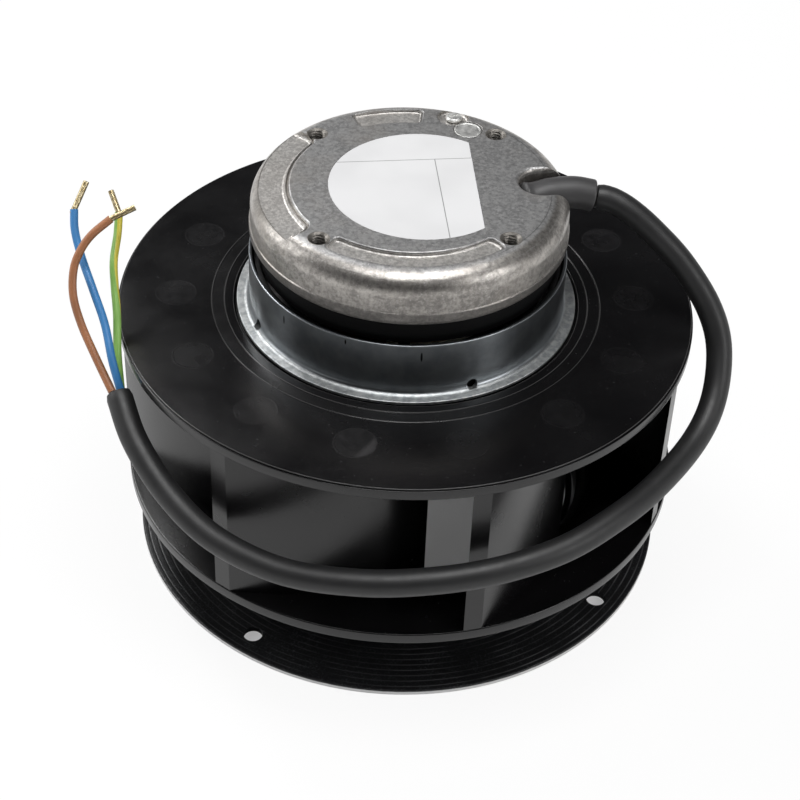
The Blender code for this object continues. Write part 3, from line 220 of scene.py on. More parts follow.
def skin(rows, around=True, closed=False, caps=""):
    """Vertices and faces of a surface through rows of points. Each row closes on itself if
    around, the last row joins the first if closed, and caps names the flat ends: a start, b end."""
    count, width = rows.shape[:2]
    index = np.arange(count * width).reshape(count, width)
    wide = np.concatenate([index, index[:, :1]], 1) if around else index
    tall = np.concatenate([wide, wide[:1]], 0) if closed else wide
    quads = np.stack([tall[:-1, :-1], tall[:-1, 1:], tall[1:, 1:], tall[1:, :-1]], -1).reshape(-1, 4)
    faces = quads.tolist()
    if "a" in caps:
        faces.append(index[0, ::-1].tolist())
    if "b" in caps:
        faces.append(index[-1].tolist())
    return rows.reshape(-1, 3), faces


def together(*shells):
    """Several surfaces as one list of vertices and faces."""
    points, faces, start = [], [], 0
    for part, part_faces in shells:
        points.append(part)
        faces += [[corner + start for corner in face] for face in part_faces]
        start += len(part)
    return np.concatenate(points), faces


def moved(surface, shift):
    points, faces = surface
    return points + shift, faces


def piece(name, surface, look=None, body=None, node=None, sharp=32.0):
    """An object of this surface, given in millimetres, with its faces turned outwards."""
    points, faces = surface
    mesh = bpy.data.meshes.new(name)
    mesh.from_pydata((np.asarray(points, float) * MM).tolist(), [], faces)
    build = bmesh.new()
    build.from_mesh(mesh)
    bmesh.ops.remove_doubles(build, verts=build.verts, dist=1e-7)
    bmesh.ops.recalc_face_normals(build, faces=build.faces)
    build.to_mesh(mesh)
    build.free()
    obj = add_object(name, mesh)
    smooth(obj, sharp)
    if look:
        dress(obj, look, body, node)
    return obj


def dress(obj, look, body, node):
    """Gives a piece its finish, the body it rides on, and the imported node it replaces."""
    obj.data.materials.clear()
    obj.data.materials.append(look)
    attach(obj, body)
    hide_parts(node)


def smooth(obj, sharp):
    obj.data.shade_smooth()
    obj.data.set_sharp_from_angle(angle=math.radians(sharp))


def cut(obj, tools, sharp):
    """Takes each tool's shape out of a piece, and smooths what is left."""
    for surface in tools:
        tool = piece(obj.name + "_tool", surface)
        modifier = obj.modifiers.new("cut", "BOOLEAN")
        modifier.operation, modifier.solver, modifier.object = "DIFFERENCE", "EXACT", tool
        graph = bpy.context.evaluated_depsgraph_get()
        made = bpy.data.meshes.new_from_object(obj.evaluated_get(graph))
        obj.modifiers.clear()
        obj.data = made
        bpy.data.objects.remove(tool)
    smooth(obj, sharp)


def turn_steps(count):
    return np.linspace(0, FULL, count, endpoint=False)


def circle(radius, angle):
    return np.stack([radius * np.cos(angle), radius * np.sin(angle)], -1)


def polar(radius, azimuth):
    azimuth = math.radians(azimuth)
    return np.array([radius * math.cos(azimuth), radius * math.sin(azimuth), 0.0])


def rounded(corners, chords=6):
    """The closed outline through these corners. A third value rounds a corner: the arc touches both
    sides at the radius over the tangent of half the corner's angle."""
    points = []
    for index, (x, y, *radius) in enumerate(corners):
        here = complex(x, y)
        if not radius:
            points.append((x, y))
            continue
        before = complex(*corners[index - 1][:2]) - here
        after = complex(*corners[(index + 1) % len(corners)][:2]) - here
        before, after = before / abs(before), after / abs(after)
        turn = math.atan2((after / before).imag, (after / before).real)
        centre = here + (before + after) / abs(before + after) * radius[0] / math.sin(abs(turn) / 2)
        arm = here + before * radius[0] / math.tan(abs(turn) / 2) - centre
        steps = np.linspace(0, 1, chords + 1) * (turn - math.copysign(math.pi, turn))
        arc = centre + arm * np.exp(1j * steps)
        points += list(zip(arc.real, arc.imag))
    return np.array(points)


def turned(outline, steps=192):
    """An (r, z) outline turned about Z: x is r cos a and y is r sin a for each angle a. An outline
    that starts and ends on the axis closes there in poles."""
    r, z = np.asarray(outline, float).T
    a = turn_steps(steps)
    rows = np.stack([r[:, None] * np.cos(a), r[:, None] * np.sin(a), np.repeat(z[:, None], steps, 1)], -1)
    return skin(rows, closed=r[0] > 1e-6)


def ellipse_arc(centre_r, centre_z, reach_r, reach_z, chords):
    """A quarter ellipse from level with its centre, on the axis side, to straight above or below it."""
    t = np.linspace(0, math.pi / 2, chords + 1)
    return np.column_stack([centre_r - reach_r * np.cos(t), centre_z + reach_z * np.sin(t)])


def rounded_box(half_x, half_y, corner, along=1, chords=6):
    """The outline of a rectangle with quarter circles at its corners, its long sides cut in steps."""
    corner = min(corner, half_x, half_y)
    turns = np.linspace(0, math.pi / 2, chords + 1)
    share = np.linspace(0, 1, along + 1)[1:-1, None]
    arcs = []
    for quarter, (sx, sy) in enumerate(((1, 1), (-1, 1), (-1, -1), (1, -1))):
        centre = (sx * (half_x - corner), sy * (half_y - corner))
        arcs.append(circle(corner, turns + quarter * math.pi / 2) + centre)
    steps = [a[-1] + (b[0] - a[-1]) * share for a, b in (arcs[:2], arcs[2:])]
    return np.concatenate([arcs[0], steps[0], arcs[1], arcs[2], steps[1], arcs[3]])


def layers(outlines, heights):
    """A capped surface through flat outlines, each at its own height."""
    rows = [np.column_stack([points, np.full(len(points), z)]) for points, z in zip(outlines, heights)]
    return skin(np.array(rows), caps="ab")


def pocket(outline, floor, top, fillet, draft, lip):
    """A cutter whose outline grows with height: a quarter round at its floor, a wall that leans out,
    and a quarter round at the face it cuts. outline(o) gives the points moved out by o."""
    t = np.linspace(0, math.pi / 2, 5)
    steps = [(floor + fillet * (1 - math.cos(a)), -fillet * (1 - math.sin(a))) for a in t]
    steps += [(top - lip + lip * math.sin(a), draft + lip * (1 - math.cos(a))) for a in t * 0.9]
    steps.append((top + 2.0, steps[-1][1]))
    return layers([outline(out) for _, out in steps], [height for height, _ in steps])


# Finishes

class Finish:
    """A procedural material: each call adds nodes and gives back what comes out of them."""

    def __init__(self, name, colour, roughness, metallic=0.0, **sockets):
        self.material = bpy.data.materials.new(name)
        self.material.use_nodes = True
        self.tree = self.material.node_tree
        self.shader = self.tree.nodes["Principled BSDF"]
        self.tone = colour
        self.place = self.add("ShaderNodeTexCoord").outputs["Object"]
        self.set("Base Color", (*colour, 1.0))
        self.set("Roughness", roughness)
        self.set("Metallic", metallic)
        for socket, value in sockets.items():
            self.set(socket.replace("_", " "), value)

    def set(self, socket, value):
        put(self.tree, self.shader.inputs[socket], value)

    def add(self, kind, inputs=(), **settings):
        return add_node(self.tree, kind, inputs, **settings)

    def math(self, operation, a, b=0.0, c=0.0):
        return self.add("ShaderNodeMath", {0: a, 1: b, 2: c}, operation=operation).outputs[0]

    def times(self, product, *factors):
        for factor in factors:
            product = self.math("MULTIPLY", product, factor)
        return product

    def plus(self, a, b):
        return self.math("ADD", a, b)

    def minus(self, a, b):
        return self.math("SUBTRACT", a, b)

    def distance(self, x, y):
        return self.math("SQRT", self.plus(self.times(x, x), self.times(y, y)))

    def parts(self, vector=None):
        return self.add("ShaderNodeSeparateXYZ", {0: vector or self.place}).outputs

    def height(self):
        return self.parts()[2]

    def radius(self):
        x, y, _ = self.parts()
        return self.distance(x, y)

    def azimuth(self):
        x, y, _ = self.parts()
        return self.math("ARCTAN2", y, x)

    def from_circle(self, angle, radius):
        """How far out and how far along a place lies from a point on a circle about the axis, by its
        angle from that point."""
        r = self.radius()
        out = self.minus(self.times(r, self.math("COSINE", angle)), radius)
        return out, self.times(r, self.math("SINE", angle))

    def stretched(self, scale):
        return self.add("ShaderNodeVectorMath", {0: self.place, 1: scale}, operation="MULTIPLY").outputs[0]

    def noise(self, scale, detail=3.0, rough=0.55, where=None):
        inputs = {"Vector": where or self.place, "Scale": scale, "Detail": detail, "Roughness": rough}
        return self.add("ShaderNodeTexNoise", inputs).outputs["Fac"]

    def spread(self, value, low, high, to_low, to_high, kind="LINEAR"):
        """The range from low to high, made into the range from to_low to to_high."""
        inputs = {"Value": value, "From Min": low, "From Max": high, "To Min": to_low, "To Max": to_high}
        return self.add("ShaderNodeMapRange", inputs, interpolation_type=kind).outputs["Result"]

    def band(self, value, low, high):
        """0 below low, 1 above high, or the other way round if low is the larger."""
        if low < high:
            return self.spread(value, low, high, 0.0, 1.0, "SMOOTHSTEP")
        return self.spread(value, high, low, 1.0, 0.0, "SMOOTHSTEP")

    def between(self, value, rise, full, fade, gone):
        """1 between full and fade, and 0 below rise and above gone."""
        return self.times(self.band(value, rise, full), self.band(value, gone, fade))

    def mix(self, share, a, b):
        a, b = ((*c, 1.0) if isinstance(c, tuple) else c for c in (a, b))
        return self.add("ShaderNodeMix", {"Factor": share, 6: a, 7: b}, data_type="RGBA").outputs[2]

    def lay(self, colour, *shares):
        """Lays a colour over the tone so far, by the product of the shares."""
        self.tone = self.mix(self.times(*shares), self.tone, colour)

    def bump(self, height, distance, strength=1.0, under=None):
        inputs = {"Height": height, "Distance": distance, "Strength": strength}
        if under:
            inputs["Normal"] = under
        return self.add("ShaderNodeBump", inputs).outputs["Normal"]

    def done(self, roughness, normal=None):
        """The material, with the tone as laid, this roughness and these small dents."""
        self.set("Base Color", self.tone)
        self.set("Roughness", roughness)
        if normal:
            self.set("Normal", normal)
        return self.material


def cast_metal():
    """Die-cast aluminium: fine grain and soft blotches from the mould, a paler face, pockets with pale
    floors, a scribed arc, and painted shade: a darker lip under the ledge and tapped holes that darken with
    depth."""
    f = Finish("cast_aluminium", (0.36, 0.355, 0.345), 0.4, 0.9)
    z, r = f.height(), f.radius()
    blotch, fine, grain = f.noise(240.0, 5.0, 0.66), f.noise(1100.0, 4.0, 0.7), f.noise(3600.0, 2.0, 0.6)
    both = f.plus(f.times(blotch, 0.45), f.times(fine, 0.55))
    face = f.band(z, *FACE_BAND)
    dark = f.mix(face, (0.245, 0.232, 0.218), (0.235, 0.234, 0.234))
    light = f.mix(face, (0.48, 0.455, 0.425), (0.46, 0.457, 0.455))
    f.tone = f.mix(f.band(both, 0.38, 0.62), dark, light)
    f.lay((0.40, 0.36, 0.32), f.band(f.noise(45.0, 3.0, 0.6), 0.48, 0.72), 0.35)
    crescent = f.times(f.between(z, 0.0960, 0.0962, 0.0964, 0.0966), f.band(r, 0.0341, 0.0339))
    shallow = f.times(f.between(z, 0.0965, 0.0966, 0.0969, 0.0970), f.band(r, 0.0316, 0.0314))
    sunk = f.math("MAXIMUM", crescent, shallow)
    pale = f.mix(f.band(fine, 0.40, 0.62), (0.50, 0.49, 0.48), (0.80, 0.79, 0.77))
    f.lay(pale, sunk, 0.42)
    f.lay((0.70, 0.69, 0.68), f.band(f.noise(2600.0, 1.0), 0.66, 0.74), 0.45)
    f.lay((0.08, 0.08, 0.08), scribed_arc(f), face, 0.55)
    # Painted shade: the lip under the ledge is made darker.
    f.lay((0.12, 0.115, 0.11), f.band(z, 0.0886, 0.0884), f.band(r, 0.0350, 0.0352), 0.55)
    # Painted shade: the tapped holes are made dark, darkest deep down.
    f.lay(f.mix(f.band(z, 0.0940, 0.0965), (0.03, 0.028, 0.026), (0.26, 0.245, 0.225)), hole_share(f))
    matt = f.times(f.math("MAXIMUM", face, sunk), 0.13)
    rough = f.plus(f.spread(blotch, 0.3, 0.7, 0.40, 0.28), matt)
    dents = f.bump(f.noise(260.0, 3.0, 0.5), 0.0005, 0.2)
    return f.done(rough, f.bump(f.plus(f.times(fine, 0.6), f.times(grain, 0.4)), 0.00014, 0.5, dents))


def scribed_arc(f):
    """1 on a thin arc scribed near the rim, on the cable's side."""
    line = f.between(f.radius(), 0.03145, 0.03155, 0.03165, 0.03175)
    return f.times(line, f.between(f.azimuth(), -0.95, -0.85, 0.75, 0.85))


def hole_share(f):
    """1 inside the four tapped holes: the place folded into one quarter turn, then its distance."""
    angle = f.minus(f.azimuth(), math.radians(TAP_AZIMUTH))
    nearest = f.math("PINGPONG", f.plus(angle, 2 * FULL + math.pi / 4), math.pi / 4)
    away = f.distance(*f.from_circle(f.minus(math.pi / 4, nearest), TAP_CIRCLE * MM))
    return f.band(away, 0.0026, 0.0024)


def moulded_black():
    """Black glass-filled plastic: a satin skin with faint flow marks, fine light rings painted on the
    back plate as highlights along its step edges and rim, dust, and round ejector marks with a painted
    highlight."""
    f = Finish("black_moulding", (0.004, 0.0038, 0.0042), 0.3, Specular_IOR_Level=0.5)
    z, r = f.height(), f.radius()
    flow = f.band(f.noise(28.0, 4.0, 0.6), 0.30, 0.75)
    f.tone = f.mix(flow, (0.0022, 0.0021, 0.0024), (0.0046, 0.0044, 0.0048))
    disc, edge, bright = ejector_marks(f)
    mottle = f.times(f.band(f.noise(700.0, 3.0, 0.6), 0.35, 0.7), 0.7)
    f.lay((0.012, 0.0115, 0.0125), disc, mottle)
    # Painted highlight on the ejector marks.
    f.lay((0.050, 0.048, 0.050), bright, 0.8)
    f.lay((0.030, 0.029, 0.030), edge, 0.25)
    on_top = f.band(z, *PLATE_BAND)
    # Painted highlights: light rings on top of the plate along its step edges and rim.
    for line, share in PAINTED_RING_HIGHLIGHTS:
        ring = f.between(r, (line - 0.12) * MM, line * MM, line * MM, (line + 0.12) * MM)
        f.lay((0.085, 0.083, 0.083), ring, on_top, share)
    f.lay((0.07, 0.07, 0.07), f.band(f.noise(1500.0, 1.0), 0.75, 0.78), 0.35)
    rough = f.plus(f.spread(f.noise(60.0, 4.0, 0.65), 0.3, 0.7, 0.20, 0.29), f.times(disc, 0.05))
    pressed = f.bump(f.times(edge, 0.4), 0.00010, 0.5)
    return f.done(rough, f.bump(f.noise(2200.0, 3.0, 0.6), 0.00006, 0.3, pressed))


def ejector_marks(f):
    """Three shares for the fourteen round marks on the back plate: the disc, its edge, and a painted
    highlight, a light crescent on the side away from the middle. Their strengths differ from mark to mark."""
    pitch = FULL / MARKS
    angle = f.plus(f.azimuth(), math.radians(MARK_AZIMUTH) + 2 * FULL)
    number = f.math("FLOOR", f.math("DIVIDE", angle, pitch))
    strength = f.add("ShaderNodeTexWhiteNoise", {"W": number}, noise_dimensions="1D").outputs["Value"]
    off = f.minus(f.math("MODULO", angle, pitch), pitch / 2)
    out, along = f.from_circle(off, MARK_CIRCLE * MM)
    away = f.distance(out, along)
    shown = f.times(f.band(f.height(), *PLATE_BAND), f.spread(strength, 0.0, 1.0, 0.25, 1.0))
    disc = f.times(f.band(away, 0.0049, 0.0040), shown)
    edge = f.between(away, 0.0043, 0.0046, 0.0047, 0.0050)
    # Painted highlight: the side of each disc away from the middle is made light.
    painted_glint = f.times(f.band(f.plus(along, f.times(out, 0.4)), 0.0018, 0.0036), disc)
    return disc, f.times(edge, shown), f.times(painted_glint, f.band(strength, 0.55, 0.95))


def coated_sheet():
    """Black coated sheet: a speckled skin, fine light lines painted as highlights along the turned grooves,
    and a raw edge where the coat is gone.
    """
    f = Finish("black_coated_sheet", (0.010, 0.0105, 0.012), 0.36)
    x, _, z = f.parts()
    r = f.radius()
    peel = f.noise(1700.0, 3.0, 0.6)
    specks = f.band(f.noise(2200.0, 3.0, 0.7), 0.50, 0.68)
    cloud = f.spread(f.band(f.noise(160.0, 3.0, 0.6), 0.35, 0.7), 0.0, 1.0, 0.2, 0.65)
    f.tone = f.mix(f.times(specks, cloud), (0.0075, 0.0078, 0.009), (0.10, 0.104, 0.112))
    # Painted highlights: light lines along the turned grooves, broken by noise and stronger towards +x.
    step = f.math("MODULO", f.minus(r, GROOVE_START * MM), GROOVE_PITCH * MM)
    off = f.math("ABSOLUTE", f.minus(step, GROOVE_MIDDLE * MM))
    lines = f.times(f.band(off, 0.00022, 0.00006), f.band(z, 0.0011, 0.0013))
    painted_highlight_side = f.spread(x, -0.01, 0.035, 0.28, 1.0)
    f.lay((0.22, 0.22, 0.225), lines, f.times(f.band(f.noise(70.0, 3.0, 0.6), 0.32, 0.62), painted_highlight_side, 0.85))
    edge = f.times(f.band(r, 0.06425, 0.06445), f.band(z, 0.0012, 0.0008))
    ragged = f.plus(edge, f.times(f.minus(f.noise(420.0), 0.5), 0.5))
    bare = f.times(f.band(ragged, 0.45, 0.6), f.band(r, 0.0640, 0.0642))
    f.lay((0.80, 0.80, 0.80), bare)
    f.set("Metallic", f.times(bare, 0.3))
    return f.done(f.spread(peel, 0.3, 0.7, 0.34, 0.50), f.bump(peel, 0.00010, 0.4))


def zinc_sheet():
    """Galvanised sheet: bluish grey with soft spangles, drawn marks up the wall, a duller flange painted
    lighter as a reflection of the light from above, and painted shade: black at the holes and small dark
    slits."""
    f = Finish("galvanised_sheet", (0.36, 0.39, 0.40), 0.34, 1.0)
    drawn = f.noise(900.0, 3.0, 0.6, f.stretched((1.0, 1.0, 0.12)))
    flange = f.band(f.height(), *COLLAR_FLANGE_BAND)
    f.tone = f.mix(f.band(f.noise(190.0, 3.0, 0.6), 0.3, 0.7), (0.22, 0.235, 0.25), (0.29, 0.31, 0.325))
    f.lay((0.12, 0.13, 0.14), f.band(drawn, 0.68, 0.86), 0.10)
    # The flange is painted lighter: a painted reflection of the light from above.
    f.lay(f.mix(f.band(f.noise(800.0), 0.35, 0.65), (0.30, 0.315, 0.32), (0.46, 0.47, 0.47)), flange)
    painted_shade_spots = collar_shade_spots(f)
    # Painted shade: black, without reflection, at the holes and slits.
    f.lay((0.003, 0.003, 0.003), painted_shade_spots)
    f.set("Metallic", f.minus(1.0, painted_shade_spots))
    f.set("Specular IOR Level", f.minus(0.5, f.times(painted_shade_spots, 0.45)))
    rough = f.plus(f.spread(drawn, 0.3, 0.7, 0.29, 0.32), f.times(flange, 0.18))
    return f.done(rough, f.bump(f.plus(drawn, f.times(painted_shade_spots, -3.0)), 0.00003, 0.2))


def collar_shade_spots(f):
    """1 where shade is painted round the collar, at its holes and small slits: an ellipse about each azimuth
    and height.
    """
    angle, z, total = f.azimuth(), f.height(), 0.0
    for azimuth, height, wide, tall in COLLAR_SHADE_SPOTS:
        along = f.times(f.minus(angle, math.radians(azimuth)), COLLAR_R / wide)
        up = f.math("DIVIDE", f.minus(z, height * MM), tall * MM)
        share = f.band(f.plus(f.times(along, along), f.times(up, up)), 1.3, 0.6)
        total = f.math("MAXIMUM", total, share)
    return f.times(total, f.band(f.radius(), 0.0377, 0.0372))


def plain_metal(name, colour, roughness, spread=0.08, grain=1400.0, metallic=1.0, stretch=(1.0, 1.0, 1.0)):
    """Worked metal: its tone and gloss wander a little, with fine marks of the tool."""
    f = Finish(name, colour, roughness, metallic)
    marks = f.noise(grain, 3.0, 0.6, f.stretched(stretch))
    dark = tuple(c * 0.72 for c in colour)
    f.tone = f.mix(f.band(f.noise(150.0), 0.3, 0.7), dark, colour)
    rough = f.spread(marks, 0.3, 0.7, roughness - spread, roughness + spread)
    return f.done(rough, f.bump(marks, 0.00005, 0.4))


def plain_plastic(name, colour, roughness, grain=1800.0, depth=0.00005, **sockets):
    """Moulded or extruded plastic: a nearly even tone with a faint skin."""
    f = Finish(name, colour, roughness, **sockets)
    grains = f.noise(grain, 3.0, 0.6)
    dark = tuple(c * 0.8 for c in colour)
    f.tone = f.mix(f.band(f.noise(90.0), 0.3, 0.7), dark, colour)
    rough = f.spread(grains, 0.3, 0.7, roughness - 0.05, roughness + 0.05)
    return f.done(rough, f.bump(grains, depth, 0.4))


def along_wire(f):
    """Round and along a tube, from its UVs."""
    around, along, _ = f.parts(f.add("ShaderNodeUVMap", uv_map="wrap").outputs[0])
    return around, along


def striped_insulation():
    """Two-colour insulation by its UVs: green, with a yellow stripe that winds half a turn round the
    core, by the square of the distance from its bare end."""
    f = Finish("insulation_green_yellow", (0.2, 0.4, 0.08), 0.38)
    around, along = along_wire(f)
    left = f.minus(STRIPE_END, along)
    wound = f.plus(around, f.math("MULTIPLY_ADD", f.times(left, left), -STRIPE_TWIST, STRIPE_TURN))
    turn = f.math("ABSOLUTE", f.minus(f.math("FRACT", wound), 0.5))
    f.tone = f.mix(f.band(f.noise(300.0, 2.0), 0.3, 0.7), (0.20, 0.40, 0.085), (0.26, 0.47, 0.12))
    f.lay((0.60, 0.52, 0.06), f.band(turn, 0.20, 0.14))
    return f.done(f.spread(f.noise(1500.0, 2.0), 0.3, 0.7, 0.34, 0.44))


def strands():
    """Tinned copper strands: bright ridges, dark brownish lines between them, by the UVs' lay."""
    f = Finish("tinned_strands", (0.72, 0.60, 0.38), 0.36, 0.9)
    around, along = along_wire(f)
    lay = f.plus(f.times(around, STRANDS), f.times(along, STRANDS * STRAND_LAY / FULL))
    ridge = f.math("PINGPONG", lay, 0.5)
    uneven = f.noise(1400.0)
    line = f.band(f.plus(ridge, f.times(f.minus(uneven, 0.5), 0.3)), 0.16, 0.02)
    f.tone = f.mix(f.band(uneven, 0.4, 0.65), (0.52, 0.41, 0.22), (0.76, 0.66, 0.44))
    f.lay((0.10, 0.07, 0.03), line)
    return f.done(f.spread(uneven, 0.3, 0.7, 0.32, 0.44), f.bump(ridge, 0.00005, 0.5))


def label_film():
    """White satin film with two thin ruled lines. Line one crosses the disc; line two hangs from it."""
    f = Finish("label_film", (0.84, 0.84, 0.845), 0.34, Specular_IOR_Level=0.3)
    x, y, _ = f.parts()
    ax, ay, bx, by = (v * MM for v in LABEL_RULE)
    above = f.minus(y, f.math("MULTIPLY_ADD", f.minus(x, ax), (by - ay) / (bx - ax), ay))
    rule = f.band(f.math("ABSOLUTE", above), RULE_EDGE, RULE_CORE)
    ax, ay, bx, by = (v * MM for v in LABEL_DROP)
    beside = f.minus(x, f.math("MULTIPLY_ADD", f.minus(y, ay), (bx - ax) / (by - ay), ax))
    drop = f.times(f.band(f.math("ABSOLUTE", beside), RULE_EDGE, RULE_CORE), f.band(above, 0.00005, -0.00005))
    f.tone = f.mix(f.band(f.noise(60.0, 2.0), 0.3, 0.7), (0.60, 0.60, 0.605), (0.65, 0.65, 0.655))
    f.lay((0.12, 0.12, 0.12), f.math("MAXIMUM", rule, drop), 0.8)
    rough = f.spread(f.noise(500.0, 2.0), 0.3, 0.7, 0.30, 0.38)
    return f.done(rough, f.bump(f.noise(220.0, 2.0), 0.00005, 0.3))


# Cable

def from_face(points):
    """Route points in metres, moved from the mounting face to the part's own origin."""
    return (np.array(points) + (0.0, 0.0, FLANGE_TOP)) * MM


def walked_along(path):
    """The distance walked from a path's start to each of its points."""
    return np.concatenate([[0], np.cumsum(np.linalg.norm(np.diff(path, axis=0), axis=1))])


def length_of(path):
    return float(walked_along(path)[-1])


def smooth_route(points, spacing):
    """Points at equal steps on the cubic curve through the route's points, where each point's
    direction is half the way from its neighbour before to its neighbour after."""
    route = from_face(points)
    ends = np.concatenate([[2 * route[0] - route[1]], route, [2 * route[-1] - route[-2]]])
    a, b, c, d = (ends[k:len(ends) - 3 + k, None, :] for k in range(4))
    t = np.linspace(0, 1, 40, endpoint=False)[None, :, None]
    bend, twist = 2 * a - 5 * b + 4 * c - d, 3 * b - a - 3 * c + d
    curve = 0.5 * (2 * b + (c - a) * t + bend * t ** 2 + twist * t ** 3)
    dense = np.concatenate([curve.reshape(-1, 3), route[-1:]])
    walked = walked_along(dense)
    stops = np.linspace(0, walked[-1], max(3, round(walked[-1] / spacing) + 1))
    return np.stack([np.interp(stops, walked, dense[:, k]) for k in range(3)], -1)


def carried(path):
    """Two directions across the path at each point, carried along it without twisting."""
    along = np.gradient(path, axis=0)
    along /= np.linalg.norm(along, axis=1)[:, None]
    start = np.cross(along[0], (0.0, 0.0, 1.0))
    if np.linalg.norm(start) < 0.2:
        start = np.cross(along[0], (0.0, 1.0, 0.0))
    side = [start / np.linalg.norm(start)]
    for step in along[1:]:
        turned_on = side[-1] - step * (side[-1] @ step)
        side.append(turned_on / np.linalg.norm(turned_on))
    side = np.array(side)
    return side, np.cross(along, side)


def rings(path, side, over, radii, sides):
    """Rings of points round a path: the radius times cos a and sin a along its two directions across."""
    a = turn_steps(sides)[:, None]
    return path[:, None] + radii[..., None] * (side[:, None] * np.cos(a) + over[:, None] * np.sin(a))


def tube(name, path, radius, look, sides, node, ridges=0, depth=0.0):
    """A capped tube round the path, in metres, with ridges of the given depth that run round it with
    the lay of a stranded wire. Its UVs go round it and along it."""
    side, over = carried(path)
    walked = walked_along(path)
    radii = np.broadcast_to(radius, len(path))[:, None] * np.ones(sides)
    if ridges:
        turn = turn_steps(sides) + STRAND_LAY * walked[:, None]
        radii = radii * (1 - depth + depth * np.abs(np.cos(ridges / 2 * turn)))
    surface = skin(rings(path, side, over, radii, sides) / MM, caps="ab")
    obj = piece(name, surface, look, "stator", node)
    wrap(obj, path, side, over, walked)
    return obj


def wrap(obj, path, side, over, walked):
    """A UV map for a tube: u is the share of the way round it and v the distance along it in metres."""
    mesh = obj.data
    corners = np.empty(len(mesh.loops), int)
    mesh.loops.foreach_get("vertex_index", corners)
    points = np.empty(len(mesh.vertices) * 3)
    mesh.vertices.foreach_get("co", points)
    points = points.reshape(-1, 3)
    nearest = np.argmin(((points[:, None] - path[None]) ** 2).sum(-1), 1)
    away = points - path[nearest]
    angle = np.arctan2((away * over[nearest]).sum(1), (away * side[nearest]).sum(1)) / FULL
    u, v = angle[corners], walked[nearest][corners]
    starts = np.empty(len(mesh.polygons), int)
    totals = np.empty(len(mesh.polygons), int)
    mesh.polygons.foreach_get("loop_start", starts)
    mesh.polygons.foreach_get("loop_total", totals)
    owner = np.repeat(np.arange(len(starts)), totals)
    u = u + np.round(u[starts][owner] - u)
    mesh.uv_layers.new(name="wrap").data.foreach_set("uv", np.stack([u, v], -1).ravel())


def build_cable():
    jacket = plain_plastic("cable_jacket", (0.014, 0.014, 0.0145), 0.48, 700.0, 0.00006)
    path = smooth_route(CABLE_ROUTE, 1.2 * MM)
    radii = np.full(len(path), CABLE_R * MM)
    radii[[0, -1]] *= 0.9
    cable = tube("cable_outer", path, radii, jacket, 40, "power_cable")
    sleeve = build_sleeve(plain_plastic("sleeve_rubber", (0.042, 0.041, 0.042), 0.48, 500.0, 0.00008))
    colours = {
        "blue": plain_plastic("insulation_blue", (0.045, 0.215, 0.50), 0.46),
        "brown": plain_plastic("insulation_brown", (0.40, 0.17, 0.08), 0.42),
        "green_yellow": striped_insulation(),
    }
    metal = strands()
    for name, route in CORE_ROUTES.items():
        path_core = smooth_route(route, 0.6 * MM)
        core = tube("insulated_" + name, path_core, CORE_R * MM, colours[name], 20,
                    "core_" + name)
        to_tip = from_face(CORE_TIPS[name]) - path_core[-1]
        reach = np.linalg.norm(to_tip)
        bare = path_core[-1] + to_tip / reach * np.linspace(-1.0 * MM, reach, 60)[:, None]
        end = tube("bare_" + name, bare, STRANDED_R * MM, metal, 42, "conductor_" + name,
                   STRANDS, 0.07)


def build_sleeve(look):
    """The sleeve on the cable: a blunt nose deep in the notch, a plain tube, and an open end with a wall."""
    first, second = (np.array(point) for point in SLEEVE_ROUTE[:2])
    inwards = (first - second) / np.linalg.norm(second - first)
    back = first + inwards * SLEEVE_INTO_NOTCH + (0.0, 0.0, SLEEVE_LIFT)
    path = smooth_route([tuple(back)] + SLEEVE_ROUTE, 0.25 * MM)
    walked = np.linspace(0, 1, len(path)) * length_of(path) / MM
    nose = np.sqrt(1 - (1 - np.clip(walked / SLEEVE_NOSE, 0, 1)) ** 2)
    outer = np.maximum(SLEEVE_R * nose * (0.95 + 0.05 * np.clip(walked / 8, 0, 1)), 0.05)
    outer[-1] -= 0.12
    inside = walked > walked[-1] - 4.0
    path, side, over = (np.concatenate([rows, rows[inside][::-1]]) for rows in (path, *carried(path)))
    radii = np.concatenate([outer, np.full(inside.sum(), SLEEVE_BORE)])[:, None] * MM
    rows = rings(path, side, over, radii, 40)
    return piece("sleeve", skin(rows / MM, caps="ab"), look, "stator", "cable_sleeve")


# Impeller. In this and the next groups, an outline's corners are r, z and, where rounded, the radius.

